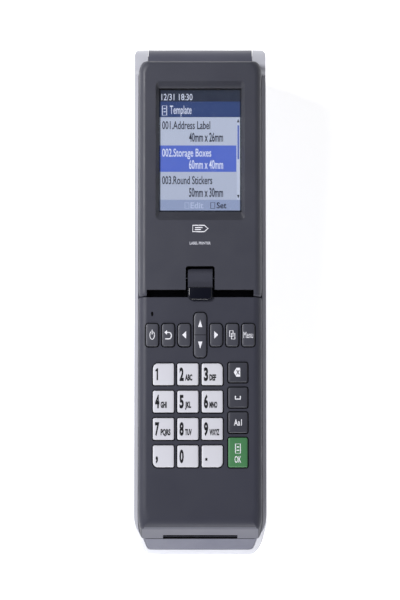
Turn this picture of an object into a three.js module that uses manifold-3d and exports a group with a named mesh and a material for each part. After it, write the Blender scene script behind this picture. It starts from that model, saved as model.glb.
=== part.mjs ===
// Slim tabletop label printer with a tilting colour display and a 23-key keypad.
// Units are millimetres: +X is the user's right, +Y runs from the label slot to the rear
// hinge, +Z is up, and the origin is the centre of the footprint on the table.
//
// The casing is a pale tub closed by a dark cover that swings up about a rear pin.
// The cover's top, its keys and its display are drawn in the deck frame: a plane that
// rises towards the rear, where "s" is the distance along the deck from its front edge
// and "n" is the height above it.
import * as THREE from "three";
import { mergeVertices } from "three/addons/utils/BufferGeometryUtils.js";
import Module from "manifold-3d";

const wasm = await Module();
wasm.setup();

// ---------------------------------------------------------------- driving dimensions
const DEG = Math.PI / 180;
const GAP = 0.3; // running gap between neighbouring pieces
const WALL = 2.3; // moulded wall thickness

const BODY = { halfWidth: 40.5, front: -155.2, rear: 155.2, bottom: 2 };
const DECK = { y: -148, z: 50, tilt: 5 * DEG };
const RIM_N = -14; // top edge of the tub, measured below the deck
const SKIRT_N = -15; // lower edge of the cover, measured below the deck
const COVER = { halfWidth: 37.9, front: -5.3, rear: 281, edgeRadius: 5.5 };
const HINGE = { y: 145.7, z: 56, radius: 9.5, pinRadius: 2, halfLength: 32 };

const SLOT = { halfWidth: 22.7, height: 3.8 }; // label exit in the cover's lip
const TRIM = { // dark lower half of the nose, narrower at its lower edge
  topHalf: 34.7,
  bottomHalf: 31.7,
  top: 34,
  bottom: 18,
  corner: 3,
};

const SHELF_N = -10; // floor under the display
const KEYPAD_END = 141.9; // rear edge of the keypad deck
const TROUGH = { halfWidth: 33, rear: 157 }; // gap between keypad and display

const DISPLAY = {
  halfWidth: 37.8,
  front: 142.6, // of the two corners that run forward beside the trough
  recess: { halfWidth: 32.8, rear: 146.5 }, // front edge between those corners
  room: 157.9, // front of the hollow inside
  rear: 291.8,
  top: 1,
  bottom: -9.7,
};
const NOTCH = { halfWidth: 8.9, rear: 161.3, radius: 1.5 };
const EARS = { halfWidth: 11.9, front: 151.3, rear: 163.5 };
const TILT_PIN = { s: 155.5, n: -4.4, radius: 1.5, halfLength: 11.6 };
const ARM = { halfWidth: 7.5, radius: 5.2, front: 140 };
const KNUCKLE_CAP = { halfWidth: 7.4, front: 139.9, rear: 148.2, top: 2.3 };
const BEZEL = { halfWidth: 27.5, front: 190.1, rear: 278.2 };
const WINDOW = { halfWidth: 25.4, front: 195.9, rear: 274.2, n: -1.5 };

const KEY = { gap: 0.45, proud: 1.1, foot: -7.4, flange: 0.5, draft: 0.15 };
const NUMBER_KEY = { width: 13.3, length: 13.9, pitchX: 14.9, pitchS: 17 };
const NUMBER_PAD = { x: -7.5, s: 42.7 }; // centre of the "0" key
const SIDE_KEY = { width: 12.2, x: 23 };
const NAV_ROW = { s: 118.2, width: 8.1, length: 14.5, pitch: 9.8 };
const ROCKER_LENGTH = 28.3;

const PLATEN = { y: -138, z: 29.5, radius: 6, halfLength: 25, shaft: 2 };
const GEAR = { module: 1, x: 30.2, width: 3.6, bore: 2.2 };
const PLATEN_TEETH = 14;
const IDLER_TEETH = 18;
const PINION_TEETH = 10;
const MOTOR = { radius: 11.8, length: 20, shaft: 1.2 };
const FRAME = { inside: 27.5, outside: 29.5, front: -145.5, rear: -100 };

const HEAD = { s: 21, n: -11.6, trunnion: 1.6 };

const ROLL = { y: 50, z: 28.6, radius: 21, core: 6.5, halfWidth: 21 };
const GUIDE_THICKNESS = 2;
const BATTERY = { x: 29, front: -94, rear: -20, bottom: 4.6, top: 23.6 };
const PAPER_TOP = 33.6;
const FOOT = { x: 29, y: 134, half: 6, height: 2.5 };

// ---------------------------------------------------------------- materials
const paint = (color, roughness, metalness = 0) =>
  new THREE.MeshStandardMaterial({ color, roughness, metalness });

const MATERIALS = {
  tub: paint(0xdcdde4, 0.45),
  charcoal: paint(0x45464f, 0.55),
  glossBlack: paint(0x1b1d29, 0.12),
  whiteKey: paint(0xdcdce3, 0.5),
  darkKey: paint(0x42434d, 0.55),
  greenKey: paint(0x3f7a49, 0.5),
  lens: paint(0x10131c, 0.05),
  screen: paint(0x8fa0cc, 0.25),
  rubber: paint(0x17181a, 0.85),
  steel: paint(0xb8bbc0, 0.3, 1),
  nylon: paint(0xe6e2d6, 0.5),
  board: paint(0x1f5c3a, 0.6),
  cell: paint(0x2b3350, 0.6),
  paper: paint(0xf3f2ee, 0.8),
  ceramic: paint(0x8d9097, 0.4, 0.6),
};

// ---------------------------------------------------------------- solid helpers
/** A closed three.js geometry as a manifold-3d solid. */
function solid(geometry) {
  const bare = geometry.index ? geometry.toNonIndexed() : geometry.clone();
  bare.deleteAttribute("normal");
  bare.deleteAttribute("uv");
  const merged = mergeVertices(bare, 1e-4);
  return new wasm.Manifold(
    new wasm.Mesh({
      numProp: 3,
      vertProperties: new Float32Array(merged.attributes.position.array),
      triVerts: new Uint32Array(merged.index.array),
    }),
  );
}

/** A manifold-3d solid as a flat-shaded three.js geometry. */
function geometryOf(manifold) {
  const mesh = manifold.getMesh();
  const geometry = new THREE.BufferGeometry();
  geometry.setAttribute(
    "position",
    new THREE.BufferAttribute(new Float32Array(mesh.vertProperties), 3),
  );
  geometry.setIndex(new THREE.BufferAttribute(mesh.triVerts, 1));
  geometry.computeVertexNormals();
  return geometry;
}

const join = (...solids) => solids.reduce((a, b) => a.add(b));
const cut = (from, ...tools) => tools.reduce((a, b) => a.subtract(b), from);

/** Box from its two corners. */
function box([x0, y0, z0], [x1, y1, z1]) {
  const geometry = new THREE.BoxGeometry(x1 - x0, y1 - y0, z1 - z0);
  geometry.translate((x0 + x1) / 2, (y0 + y1) / 2, (z0 + z1) / 2);
  return solid(geometry);
}

/** Cylinder along X between x0 and x1, centred at (y, z). */
function rod(radius, x0, x1, y, z, sides = 24) {
  const geometry = new THREE.CylinderGeometry(
    radius,
    radius,
    x1 - x0,
    sides,
    1,
  );
  geometry.rotateZ(-Math.PI / 2);
  geometry.translate((x0 + x1) / 2, y, z);
  return solid(geometry);
}

/** Side profile of [y, z] points, swept across from x0 to x1. */
function profileX(points, x0, x1) {
  const shape = new THREE.Shape(
    points.map(([y, z]) => new THREE.Vector2(y, z)),
  );
  const geometry = new THREE.ExtrudeGeometry(shape, {
    depth: x1 - x0,
    bevelEnabled: false,
  });
  // The shape's x, y and depth become Y, Z and X.
  geometry.applyMatrix4(
    new THREE.Matrix4().set(0, 0, 1, x0, 1, 0, 0, 0, 0, 1, 0, 0, 0, 0, 0, 1),
  );
  return solid(geometry);
}

/**
 * Plan outline of a box with elliptical corners, anticlockwise.
 * Each corner is [radius across X, radius along Y], in the order
 * front right, rear right, rear left, front left.
 */
function outline(x0, x1, y0, y1, corners, steps = 4) {
  const centres = [
    [x1, y0, 1, -1],
    [x1, y1, 1, 1],
    [x0, y1, -1, 1],
    [x0, y0, -1, -1],
  ];
  const points = [];
  centres.forEach(([x, y, sx, sy], corner) => {
    const [rx, ry] = corners[corner];
    for (let i = 0; i <= steps; i++) {
      const a = (corner - 1 + i / steps) * 90 * DEG;
      points.push([
        x - sx * rx + rx * Math.cos(a),
        y - sy * ry + ry * Math.sin(a),
      ]);
    }
  });
  return points;
}

const sameCorners = (rx, ry = rx) => [
  [rx, ry],
  [rx, ry],
  [rx, ry],
  [rx, ry],
];

/** Solid through rings of plan points, each { points, z }, from the lowest up. */
function loft(rings) {
  const count = rings[0].points.length;
  const vertices = rings.flatMap(({ points, z }) =>
    points.map(([x, y]) => [x, y, z]),
  );
  const triangles = [];
  for (let ring = 0; ring + 1 < rings.length; ring++) {
    for (let i = 0; i < count; i++) {
      const a = ring * count + i;
      const b = ring * count + ((i + 1) % count);
      triangles.push([a, b, b + count], [a, b + count, a + count]);
    }
  }
  const cap = (ring, up) => {
    const flat = rings[ring].points.map(([x, y]) => new THREE.Vector2(x, y));
    for (const [a, b, c] of THREE.ShapeUtils.triangulateShape(flat, [])) {
      const face = [a, b, c].map((i) => i + ring * count);
      triangles.push(up ? face : face.reverse());
    }
  };
  cap(0, false);
  cap(rings.length - 1, true);
  const geometry = new THREE.BufferGeometry();
  geometry.setAttribute(
    "position",
    new THREE.Float32BufferAttribute(vertices.flat(), 3),
  );
  geometry.setIndex(triangles.flat());
  return solid(geometry);
}

/** Upright prism with rounded plan corners, from z0 to z1. */
function slab(x0, x1, y0, y1, z0, z1, radius, steps = 3) {
  const points = outline(x0, x1, y0, y1, sameCorners(radius), steps);
  return loft([
    { points, z: z0 },
    { points, z: z1 },
  ]);
}

// ---------------------------------------------------------------- frames and groups
const printer = new THREE.Group();
const deck = new THREE.Group(); // its Y is s and its Z is n
deck.position.set(0, DECK.y, DECK.z);
deck.rotation.x = DECK.tilt;
deck.updateMatrix();
printer.add(deck);

/** A table-frame point [y, z] as deck-frame [s, n]. */
function toDeck(y, z) {
  const dy = y - DECK.y;
  const dz = z - DECK.z;
  const c = Math.cos(DECK.tilt);
  const t = Math.sin(DECK.tilt);
  return [dy * c + dz * t, dz * c - dy * t];
}

/** A deck-frame solid moved into the table frame, and the other way round. */
const fromDeck = (manifold) => manifold.transform(deck.matrix.elements);
const intoDeck = (manifold) =>
  manifold.transform(deck.matrix.clone().invert().elements);

function addPiece(group, name, manifold, material) {
  const mesh = new THREE.Mesh(geometryOf(manifold), material);
  mesh.name = name;
  group.add(mesh);
  return mesh;
}

// ---------------------------------------------------------------- tub
/** Outer form of the tub, drawn in by "inset" for the inside. */
function hull(inset, bottom) {
  const side = BODY.halfWidth;
  const levels = [
    // height, half width, front, rear
    [BODY.bottom, side - 6, -151.7, 151.2],
    [3.5, side - 3.7, -153.7, 153.2],
    [8, side - 2.1, -154.9, 154.6],
    [14, side - 1.4, BODY.front, BODY.rear],
    [22, side - 0.7, -154.1, BODY.rear],
    [30, side, -152.7, BODY.rear],
    [36, side, -151.5, BODY.rear],
    [70, side, -151.5, BODY.rear],
  ];
  const kept = levels.filter(([z]) => z >= bottom);
  const first = kept[0][0] > bottom ? [[bottom, ...kept[0].slice(1)]] : [];
  const rings = [...first, ...kept].map(([z, half, front, rear]) => ({
    z,
    points: outline(
      inset - half,
      half - inset,
      front + inset,
      rear - inset,
      [
        [8 - inset, 14 - inset],
        [5 - inset, 6.5 - inset],
        [5 - inset, 6.5 - inset],
        [8 - inset, 14 - inset],
      ],
      5,
    ),
  }));
  return loft(rings);
}

const FLOOR_TOP = BODY.bottom + 2.6;
const tubForm = hull(0, BODY.bottom);
const tubInside = hull(WALL, FLOOR_TOP);
const everyX = BODY.halfWidth + 5;

/** Everything under a plane that lies "n" below the deck. */
const underDeck = (n) =>
  fromDeck(box([-everyX, -60, -120], [everyX, 360, n]));

/** Room for the front trim, larger by "grow" all round. */
function trimBlock(grow) {
  const { corner } = TRIM;
  const slope =
    (TRIM.topHalf - TRIM.bottomHalf) / (TRIM.top - TRIM.bottom);
  const low = TRIM.bottom - grow;
  const narrow = TRIM.bottomHalf + grow;
  const wide = TRIM.topHalf + grow;
  const shape = new THREE.Shape();
  shape.moveTo(corner - narrow, low);
  shape.lineTo(narrow - corner, low);
  shape.quadraticCurveTo(narrow, low, narrow + slope * corner, low + corner);
  shape.lineTo(wide, TRIM.top);
  shape.lineTo(wide, 60);
  shape.lineTo(-wide, 60);
  shape.lineTo(-wide, TRIM.top);
  shape.lineTo(-narrow - slope * corner, low + corner);
  shape.quadraticCurveTo(-narrow, low, corner - narrow, low);
  const back = -139 + grow;
  const geometry = new THREE.ExtrudeGeometry(shape, {
    depth: back - BODY.front + 1,
    bevelEnabled: false,
    curveSegments: 4,
  });
  geometry.rotateX(Math.PI / 2);
  geometry.translate(0, back, 0);
  return solid(geometry);
}

const BATTERY_DOOR = { half: 31, front: -96, rear: -18, travel: 12 };
const INLET = { x: -17, half: 7, bottom: 9.9, top: 20.9, hole: 3.6 };
const DATA_PORT = { x: 8, half: 5.5, bottom: 10, top: 16.5 };
const LATCH = { y: -86, half: 6, bottom: 20, top: 30, hook: 41.6 };

/** Rounded hinge post at one rear corner. */
function hingePost(side) {
  const inner = HINGE.halfLength + GAP;
  const [x0, x1] = side > 0 ? [inner, everyX] : [-everyX, -inner];
  const upright = box(
    [x0, HINGE.y - HINGE.radius, 34],
    [x1, BODY.rear, HINGE.z],
  );
  return join(
    rod(HINGE.radius, x0, x1, HINGE.y, HINGE.z, 32),
    upright,
  ).intersect(tubForm);
}

function makeTub() {
  const shell = cut(tubForm.intersect(underDeck(RIM_N)), tubInside);
  const barrelRoom = box(
    [-HINGE.halfLength - GAP, HINGE.y - 14, HINGE.z - HINGE.radius - 1],
    [HINGE.halfLength + GAP, BODY.rear + 5, 90],
  );
  const pinHole = rod(HINGE.pinRadius + 0.15, -38, everyX, HINGE.y, HINGE.z);
  const rollRail = box(
    [-34, ROLL.y - 4, FLOOR_TOP - 0.5],
    [34, ROLL.y + 4, 7],
  );
  const boardPosts = [-28, 28].flatMap((x) =>
    [78, 140].map((y) => box([x - 2, y - 2, FLOOR_TOP - 0.5], [x + 2, y + 2, 7.9])),
  );
  const rearCorner = cut(
    box([-everyX, HINGE.y, HINGE.z], [everyX, BODY.rear + 5, 90]),
    rod(HINGE.radius, -everyX, everyX, HINGE.y, HINGE.z, 32),
  );
  const batteryRails = [-1, 1].map((side) =>
    box(
      [side * 31.8 - 0.9, BATTERY.front, FLOOR_TOP - 0.5],
      [side * 31.8 + 0.9, BATTERY.rear, 9],
    ),
  );
  const doorEnd = BATTERY_DOOR.rear + BATTERY_DOOR.travel;
  const doorFrame = box(
    [-33, BATTERY_DOOR.front - 1, FLOOR_TOP - 0.5],
    [33, doorEnd + 2, FLOOR_TOP + 1.2],
  );
  const doorChannel = join(
    box(
      [-BATTERY_DOOR.half - 0.4, BATTERY_DOOR.front - 0.4, BODY.bottom + 0.7],
      [BATTERY_DOOR.half + 0.4, doorEnd + 0.6, BODY.bottom + 2.5],
    ),
    box(
      [-BATTERY_DOOR.half + 1.2, BATTERY_DOOR.front - 0.4, 0],
      [BATTERY_DOOR.half - 1.2, doorEnd + 0.6, BODY.bottom + 1],
    ),
  );
  const bay = box(
    [-BATTERY.x - 0.5, BATTERY.front - 0.5, 0],
    [BATTERY.x + 0.5, BATTERY.rear + 0.5, 10],
  );
  const footPockets = footPlaces.map(([x, y]) =>
    footBlock(x, y, 0.25, BODY.bottom + 0.7),
  );
  const inletHole = box(
    [INLET.x - INLET.half - 0.3, 140, INLET.bottom - 0.3],
    [INLET.x + INLET.half + 0.3, 160, INLET.top + 0.3],
  );
  const portHole = box(
    [DATA_PORT.x - DATA_PORT.half, 148, DATA_PORT.bottom],
    [DATA_PORT.x + DATA_PORT.half, 160, DATA_PORT.top],
  );
  const latchHole = box(
    [-everyX, LATCH.y - LATCH.half - 0.35, LATCH.bottom - 0.35],
    [everyX, LATCH.y + LATCH.half + 0.35, LATCH.top + 0.35],
  );
  const body = join(
    cut(shell, rearCorner),
    hingePost(1),
    hingePost(-1),
    rollRail,
    doorFrame,
    ...boardPosts,
    ...batteryRails,
  );
  return cut(
    body,
    barrelRoom,
    pinHole,
    trimBlock(GAP),
    fromDeck(coverForm(-0.25, SKIRT_N - GAP)),
    doorChannel,
    bay,
    ...footPockets,
    inletHole,
    portHole,
    latchHole,
  );
}

const footPlaces = [
  [-FOOT.x, -FOOT.y + 3],
  [FOOT.x, -FOOT.y + 3],
  [-FOOT.x, FOOT.y],
  [FOOT.x, FOOT.y],
];

function footBlock(x, y, grow, top) {
  const half = FOOT.half + grow;
  return slab(x - half, x + half, y - half, y + half, 0, top, 3);
}

function makeFrontTrim() {
  const skin = cut(tubForm.intersect(underDeck(SKIRT_N - 0.4)), tubInside);
  const ledge = fromDeck(
    box([-everyX, -60, SKIRT_N - 1], [everyX, COVER.front + 1.2, 5]),
  );
  return cut(skin.intersect(trimBlock(0)), ledge);
}

/** Thin steel strip with a toothed upper edge, just inside the label slot. */
function makeTearBar() {
  const halfLength = 22.2;
  const teeth = 22;
  const pitch = (2 * halfLength) / teeth;
  const shape = new THREE.Shape();
  shape.moveTo(-halfLength, 27);
  shape.lineTo(halfLength, 27);
  for (let i = 0; i < teeth; i++) {
    const x = halfLength - i * pitch;
    shape.lineTo(x, 34.2);
    shape.lineTo(x - pitch / 2, 35.2);
  }
  shape.lineTo(-halfLength, 34.2);
  const geometry = new THREE.ExtrudeGeometry(shape, {
    depth: 0.8,
    bevelEnabled: false,
  });
  geometry.rotateX(Math.PI / 2);
  geometry.translate(0, -148.5, 0);
  return solid(geometry);
}

// ---------------------------------------------------------------- print mechanism
/** Involute spur gear about X, with one tooth pointing at "phase" from +Y. */
function spurGear(teeth, phase, y, z, bore) {
  const m = GEAR.module;
  const pitchR = (teeth * m) / 2;
  const baseR = pitchR * Math.cos(20 * DEG);
  const tipR = pitchR + 0.8 * m;
  const rootR = pitchR - 1.1 * m;
  const involute = (r) => {
    const a = Math.acos(Math.min(1, baseR / r));
    return Math.tan(a) - a;
  };
  const halfTooth = 0.42 * (Math.PI / teeth) + involute(pitchR);
  const flankR = [Math.max(rootR, baseR), pitchR, tipR];
  const points = [];
  const polar = (r, a) =>
    points.push(new THREE.Vector2(r * Math.cos(a), r * Math.sin(a)));
  for (let i = 0; i < teeth; i++) {
    const centre = phase + (2 * Math.PI * i) / teeth;
    const flank = flankR.map((r) => [r, halfTooth - involute(r)]);
    polar(rootR, centre - flank[0][1]);
    flank.forEach(([r, a]) => polar(r, centre - a));
    flank.reverse().forEach(([r, a]) => polar(r, centre + a));
    polar(rootR, centre + flank[2][1]);
  }
  const distinct = points.filter(
    (p, i) => p.distanceTo(points[(i + 1) % points.length]) > 0.02,
  );
  const shape = new THREE.Shape(distinct);
  const hole = new THREE.Path();
  hole.absarc(0, 0, bore, 0, 2 * Math.PI, true);
  shape.holes.push(hole);
  const geometry = new THREE.ExtrudeGeometry(shape, {
    depth: GEAR.width,
    bevelEnabled: false,
    curveSegments: 16,
  });
  geometry.applyMatrix4(
    new THREE.Matrix4().set(
      0, 0, 1, GEAR.x, 1, 0, 0, y, 0, 1, 0, z, 0, 0, 0, 1,
    ),
  );
  return solid(geometry);
}

const MESH_CLEARANCE = 0.12;
const pitchRadius = (teeth) => (teeth * GEAR.module) / 2;

/** Centre of a gear that meshes with one at (y, z), in the direction "angle". */
function meshedCentre(from, teethA, teethB, angle) {
  const d = pitchRadius(teethA) + pitchRadius(teethB) + MESH_CLEARANCE;
  return {
    y: from.y + d * Math.cos(angle),
    z: from.z + d * Math.sin(angle),
  };
}

const IDLER_ANGLE = -45 * DEG;
const PINION_ANGLE = 8 * DEG;
const idlerCentre = meshedCentre(
  PLATEN,
  PLATEN_TEETH,
  IDLER_TEETH,
  IDLER_ANGLE,
);
const pinionCentre = meshedCentre(
  idlerCentre,
  IDLER_TEETH,
  PINION_TEETH,
  PINION_ANGLE,
);
// A tooth of the platen gear points at the idler, which answers with a gap; then the
// idler's tooth nearest the pinion decides where the pinion's own gap has to be.
const idlerPhase = IDLER_ANGLE + Math.PI + Math.PI / IDLER_TEETH;
const idlerStep = (2 * Math.PI) / IDLER_TEETH;
const idlerOffset =
  (PINION_ANGLE - idlerPhase) / idlerStep -
  Math.round((PINION_ANGLE - idlerPhase) / idlerStep);
const pinionPhase =
  PINION_ANGLE +
  Math.PI +
  Math.PI / PINION_TEETH +
  (idlerOffset * 2 * Math.PI) / PINION_TEETH;

function makeFrame() {
  const plate = (x0, x1) =>
    profileX(
      [
        [FRAME.front, FLOOR_TOP + 0.1],
        [FRAME.rear, FLOOR_TOP + 0.1],
        [FRAME.rear, 27],
        [-128, 33],
        [FRAME.front, 33],
      ],
      x0,
      x1,
    );
  const shell = join(
    plate(-FRAME.outside, -FRAME.inside),
    plate(FRAME.inside, FRAME.outside),
    box(
      [-FRAME.outside, FRAME.front, FLOOR_TOP + 0.1],
      [FRAME.outside, FRAME.rear, FLOOR_TOP + 1.5],
    ),
  );
  const bearings = rod(PLATEN.shaft + 0.2, -33, 33, PLATEN.y, PLATEN.z);
  const pinionHole = rod(6, 20, 33, pinionCentre.y, pinionCentre.z);
  const idlerStud = rod(1.9, 28, 35.4, idlerCentre.y, idlerCentre.z);
  return join(cut(shell, bearings, pinionHole), idlerStud);
}

const makePlatenRoller = () =>
  cut(
    rod(PLATEN.radius, -PLATEN.halfLength, PLATEN.halfLength, PLATEN.y, PLATEN.z, 32),
    rod(PLATEN.shaft + 0.05, -40, 40, PLATEN.y, PLATEN.z),
  );

const makePlatenShaft = () =>
  rod(PLATEN.shaft, -31, GEAR.x + GEAR.width + 0.4, PLATEN.y, PLATEN.z);

const makePlatenGear = () =>
  spurGear(PLATEN_TEETH, IDLER_ANGLE, PLATEN.y, PLATEN.z, PLATEN.shaft + 0.1);

function makeMotor() {
  const { y, z } = pinionCentre;
  const end = FRAME.inside - GAP;
  const can = rod(MOTOR.radius, end - MOTOR.length, end, y, z, 32);
  return cut(can, rod(MOTOR.shaft + 0.3, end - 9, end + 1, y, z));
}

function makePinion() {
  const { y, z } = pinionCentre;
  const gear = spurGear(PINION_TEETH, pinionPhase, y, z, 0.8);
  return join(
    gear,
    rod(MOTOR.shaft, FRAME.inside - 8, GEAR.x + GEAR.width + 0.4, y, z),
  );
}

/** Sheet that carries the labels from the roll to the platen. */
function makePaperGuide() {
  const top = PAPER_TOP;
  const sheet = profileX(
    [
      [-131, top - 1.2],
      [12, top - 1.2],
      [19, top - 8],
      [20, top - 7],
      [12.6, top],
      [-131, top],
    ],
    -26.5,
    26.5,
  );
  const legs = [-1, 1].flatMap((side) =>
    [
      [2, 12],
      [-98.9, -97.3],
    ].map(([y0, y1]) =>
      box(
        [side * 25.4 - 1.1, y0, FLOOR_TOP + 0.1],
        [side * 25.4 + 1.1, y1, top - 1],
      ),
    ),
  );
  return join(sheet, ...legs);
}

// ---------------------------------------------------------------- roll, power, boards
function makeLabelRoll() {
  const rings = 32;
  return cut(
    rod(ROLL.radius, -ROLL.halfWidth, ROLL.halfWidth, ROLL.y, ROLL.z, rings),
    rod(ROLL.core, -30, 30, ROLL.y, ROLL.z, rings),
  );
}

/** Side guide with a hub that carries the roll's core. */
function makeRollGuide(side) {
  const face = ROLL.halfWidth + GAP;
  const span = (from, to) => (side > 0 ? [from, to] : [-to, -from]);
  const [p0, p1] = span(face, face + GUIDE_THICKNESS);
  const [h0, h1] = span(face - 10, face + 0.5);
  const [f0, f1] = span(face, face + 6);
  return join(
    rod(16, p0, p1, ROLL.y, ROLL.z, 28),
    box([p0, ROLL.y - 9, 7.4], [p1, ROLL.y + 9, ROLL.z]),
    rod(ROLL.core - GAP, h0, h1, ROLL.y, ROLL.z),
    box([f0, ROLL.y - 9, 7.4], [f1, ROLL.y + 9, 9.4]),
  );
}

const makeBattery = () =>
  slab(
    -BATTERY.x,
    BATTERY.x,
    BATTERY.front,
    BATTERY.rear,
    BATTERY.bottom,
    BATTERY.top,
    3,
  );

function makeBatteryDoor() {
  const plate = slab(
    -BATTERY_DOOR.half,
    BATTERY_DOOR.half,
    BATTERY_DOOR.front,
    BATTERY_DOOR.rear,
    BODY.bottom + 0.9,
    BODY.bottom + 2.3,
    2,
  );
  const grips = [0, 1, 2, 3].map((i) =>
    box(
      [-10, -88 + i * 3, BODY.bottom],
      [10, -87 + i * 3, BODY.bottom + 1.3],
    ),
  );
  return cut(plate, ...grips);
}

const makeMainBoard = () =>
  join(
    box([-32, 74, 8], [32, 149, 9.6]),
    box([-14, 88, 9.5], [4, 106, 11.6]),
    box([12, 84, 9.5], [22, 92, 12]),
    box([12, 100, 9.5], [26, 112, 13]),
    box([-28, 78, 9.5], [-20, 98, 15]),
  );

/** Power inlet with a round socket that opens at the rear wall. */
function makeInlet() {
  const middle = (INLET.bottom + INLET.top) / 2;
  const block = box(
    [INLET.x - INLET.half, 139, INLET.bottom],
    [INLET.x + INLET.half, BODY.rear - 0.8, INLET.top],
  );
  const socket = new THREE.CylinderGeometry(INLET.hole, INLET.hole, 10, 16);
  socket.translate(INLET.x, BODY.rear - 4.8, middle);
  return cut(block, solid(socket));
}

/** Metal-shelled data socket on the main board. */
function makeDataPort() {
  const { x, half, bottom, top } = DATA_PORT;
  const can = slab(
    x - half + 0.4,
    x + half - 0.4,
    144.5,
    BODY.rear - 1,
    bottom + 0.2,
    top - 0.4,
    0.8,
  );
  const mouth = box(
    [x - half + 1.2, 147, bottom + 1],
    [x + half - 1.2, BODY.rear, top - 1.2],
  );
  return cut(can, mouth);
}

/** Side button with the arm that holds the cover's skirt. */
function makeLatch(side) {
  const span = (from, to) => (side > 0 ? [from, to] : [-to, -from]);
  const [b0, b1] = span(34.5, 40.4);
  const [a0, a1] = span(32.6, 34.8);
  const [h0, h1] = span(33, 36.4);
  const button = box(
    [b0, LATCH.y - LATCH.half, LATCH.bottom],
    [b1, LATCH.y + LATCH.half, LATCH.top],
  );
  const arm = box([a0, LATCH.y - 4, 14], [a1, LATCH.y + 4, LATCH.hook + 1.5]);
  const hook = box([h0, LATCH.y - 4, LATCH.hook], [h1, LATCH.y + 4, LATCH.hook + 1.5]);
  return join(button, arm, hook);
}

// ---------------------------------------------------------------- keys
/**
 * Every key: centre and size on the deck, and its corner radii in the order
 * front right, rear right, rear left, front left.
 */
const SMALL = 1.1;
const LARGE = 3;
const corners = (...radii) => radii.map((r) => [r, r * 1.25]);

const numberKey = (name, column, row, radii = corners(SMALL, SMALL, SMALL, SMALL)) => ({
  name,
  x: NUMBER_PAD.x + column * NUMBER_KEY.pitchX,
  s: NUMBER_PAD.s + row * NUMBER_KEY.pitchS,
  width: NUMBER_KEY.width,
  length: NUMBER_KEY.length,
  radii,
  material: MATERIALS.whiteKey,
});

const sideKey = (name, s, length, material = MATERIALS.darkKey) => ({
  name,
  x: SIDE_KEY.x,
  s,
  width: SIDE_KEY.width,
  length,
  radii: corners(SMALL, SMALL, SMALL, SMALL),
  material,
});

const navKey = (name, place, radii, length = NAV_ROW.length) => ({
  name,
  x: place * NAV_ROW.pitch,
  s: NAV_ROW.s,
  width: NAV_ROW.width,
  length,
  radii,
  material: MATERIALS.darkKey,
});

const SOFT = 1.6;
const ROUND = 2.4;
const KEYS = [
  numberKey("key_1", -1, 3, corners(SMALL, SMALL, LARGE, SMALL)),
  numberKey("key_2", 0, 3),
  numberKey("key_3", 1, 3, corners(SMALL, LARGE, SMALL, SMALL)),
  numberKey("key_4", -1, 2),
  numberKey("key_5", 0, 2),
  numberKey("key_6", 1, 2),
  numberKey("key_7", -1, 1),
  numberKey("key_8", 0, 1),
  numberKey("key_9", 1, 1),
  numberKey("key_comma", -1, 0, corners(SMALL, SMALL, SMALL, LARGE)),
  numberKey("key_0", 0, 0),
  numberKey("key_point", 1, 0, corners(LARGE, SMALL, SMALL, SMALL)),
  sideKey("key_backspace", 94.85, 12.7),
  sideKey("key_space", 79.25, 12.9),
  sideKey("key_shift", 63.65, 13.3),
  sideKey("key_ok", 45.1, 18.8, MATERIALS.greenKey),
  navKey("key_power", -3, corners(SOFT, SOFT, SOFT, SOFT)),
  navKey("key_back", -2, corners(SOFT, SOFT, SOFT, SOFT)),
  navKey("key_left", -1, corners(SOFT, SOFT, ROUND, ROUND)),
  navKey("key_up_down", 0, corners(ROUND, ROUND, ROUND, ROUND), ROCKER_LENGTH),
  navKey("key_right", 1, corners(ROUND, ROUND, SOFT, SOFT)),
  navKey("key_copy", 2, corners(SOFT, SOFT, SOFT, SOFT)),
  navKey("key_menu", 3, corners(SOFT, SOFT, SOFT, SOFT)),
];

/** Plan of a key about its own centre, grown outwards by "grow". */
function keyPlan(key, grow) {
  const w = key.width / 2 + grow;
  const l = key.length / 2 + grow;
  const radii = key.radii.map(([rx, ry]) => [
    Math.max(0.3, rx + grow),
    Math.max(0.3, ry + grow),
  ]);
  return outline(-w, w, -l, l, radii, 2);
}

/** Drafted key cap with a chamfered top, a retaining flange and a switch foot. */
function makeKey(key) {
  const isRocker = key.length === ROCKER_LENGTH;
  const flangeTop = isRocker ? -3.6 : -2.6;
  const cap = loft([
    { points: keyPlan(key, 0), z: flangeTop - 1 },
    { points: keyPlan(key, 0), z: -1 },
    { points: keyPlan(key, -KEY.draft), z: KEY.proud - 0.4 },
    { points: keyPlan(key, -KEY.draft - 0.4), z: KEY.proud },
  ]);
  const flange = loft([
    { points: keyPlan(key, KEY.flange), z: flangeTop - 1.1 },
    { points: keyPlan(key, KEY.flange), z: flangeTop },
  ]);
  const feet = (isRocker ? [-8, 8] : [0]).map((s) =>
    box([-1.6, s - 1.6, KEY.foot], [1.6, s + 1.6, flangeTop - 0.5]),
  );
  return join(cap, flange, ...feet);
}

/** Opening that the key passes through, with room for its flange below. */
function keyHole(key) {
  const plan = (grow) =>
    keyPlan(key, grow).map(([x, s]) => [x + key.x, s + key.s]);
  const stem = plan(KEY.gap);
  const recess = plan(KEY.flange + 0.25);
  return join(
    loft([
      { points: stem, z: -6 },
      { points: stem, z: 3 },
    ]),
    loft([
      { points: recess, z: -9 },
      { points: recess, z: 0.05 - WALL },
    ]),
  );
}

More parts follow.
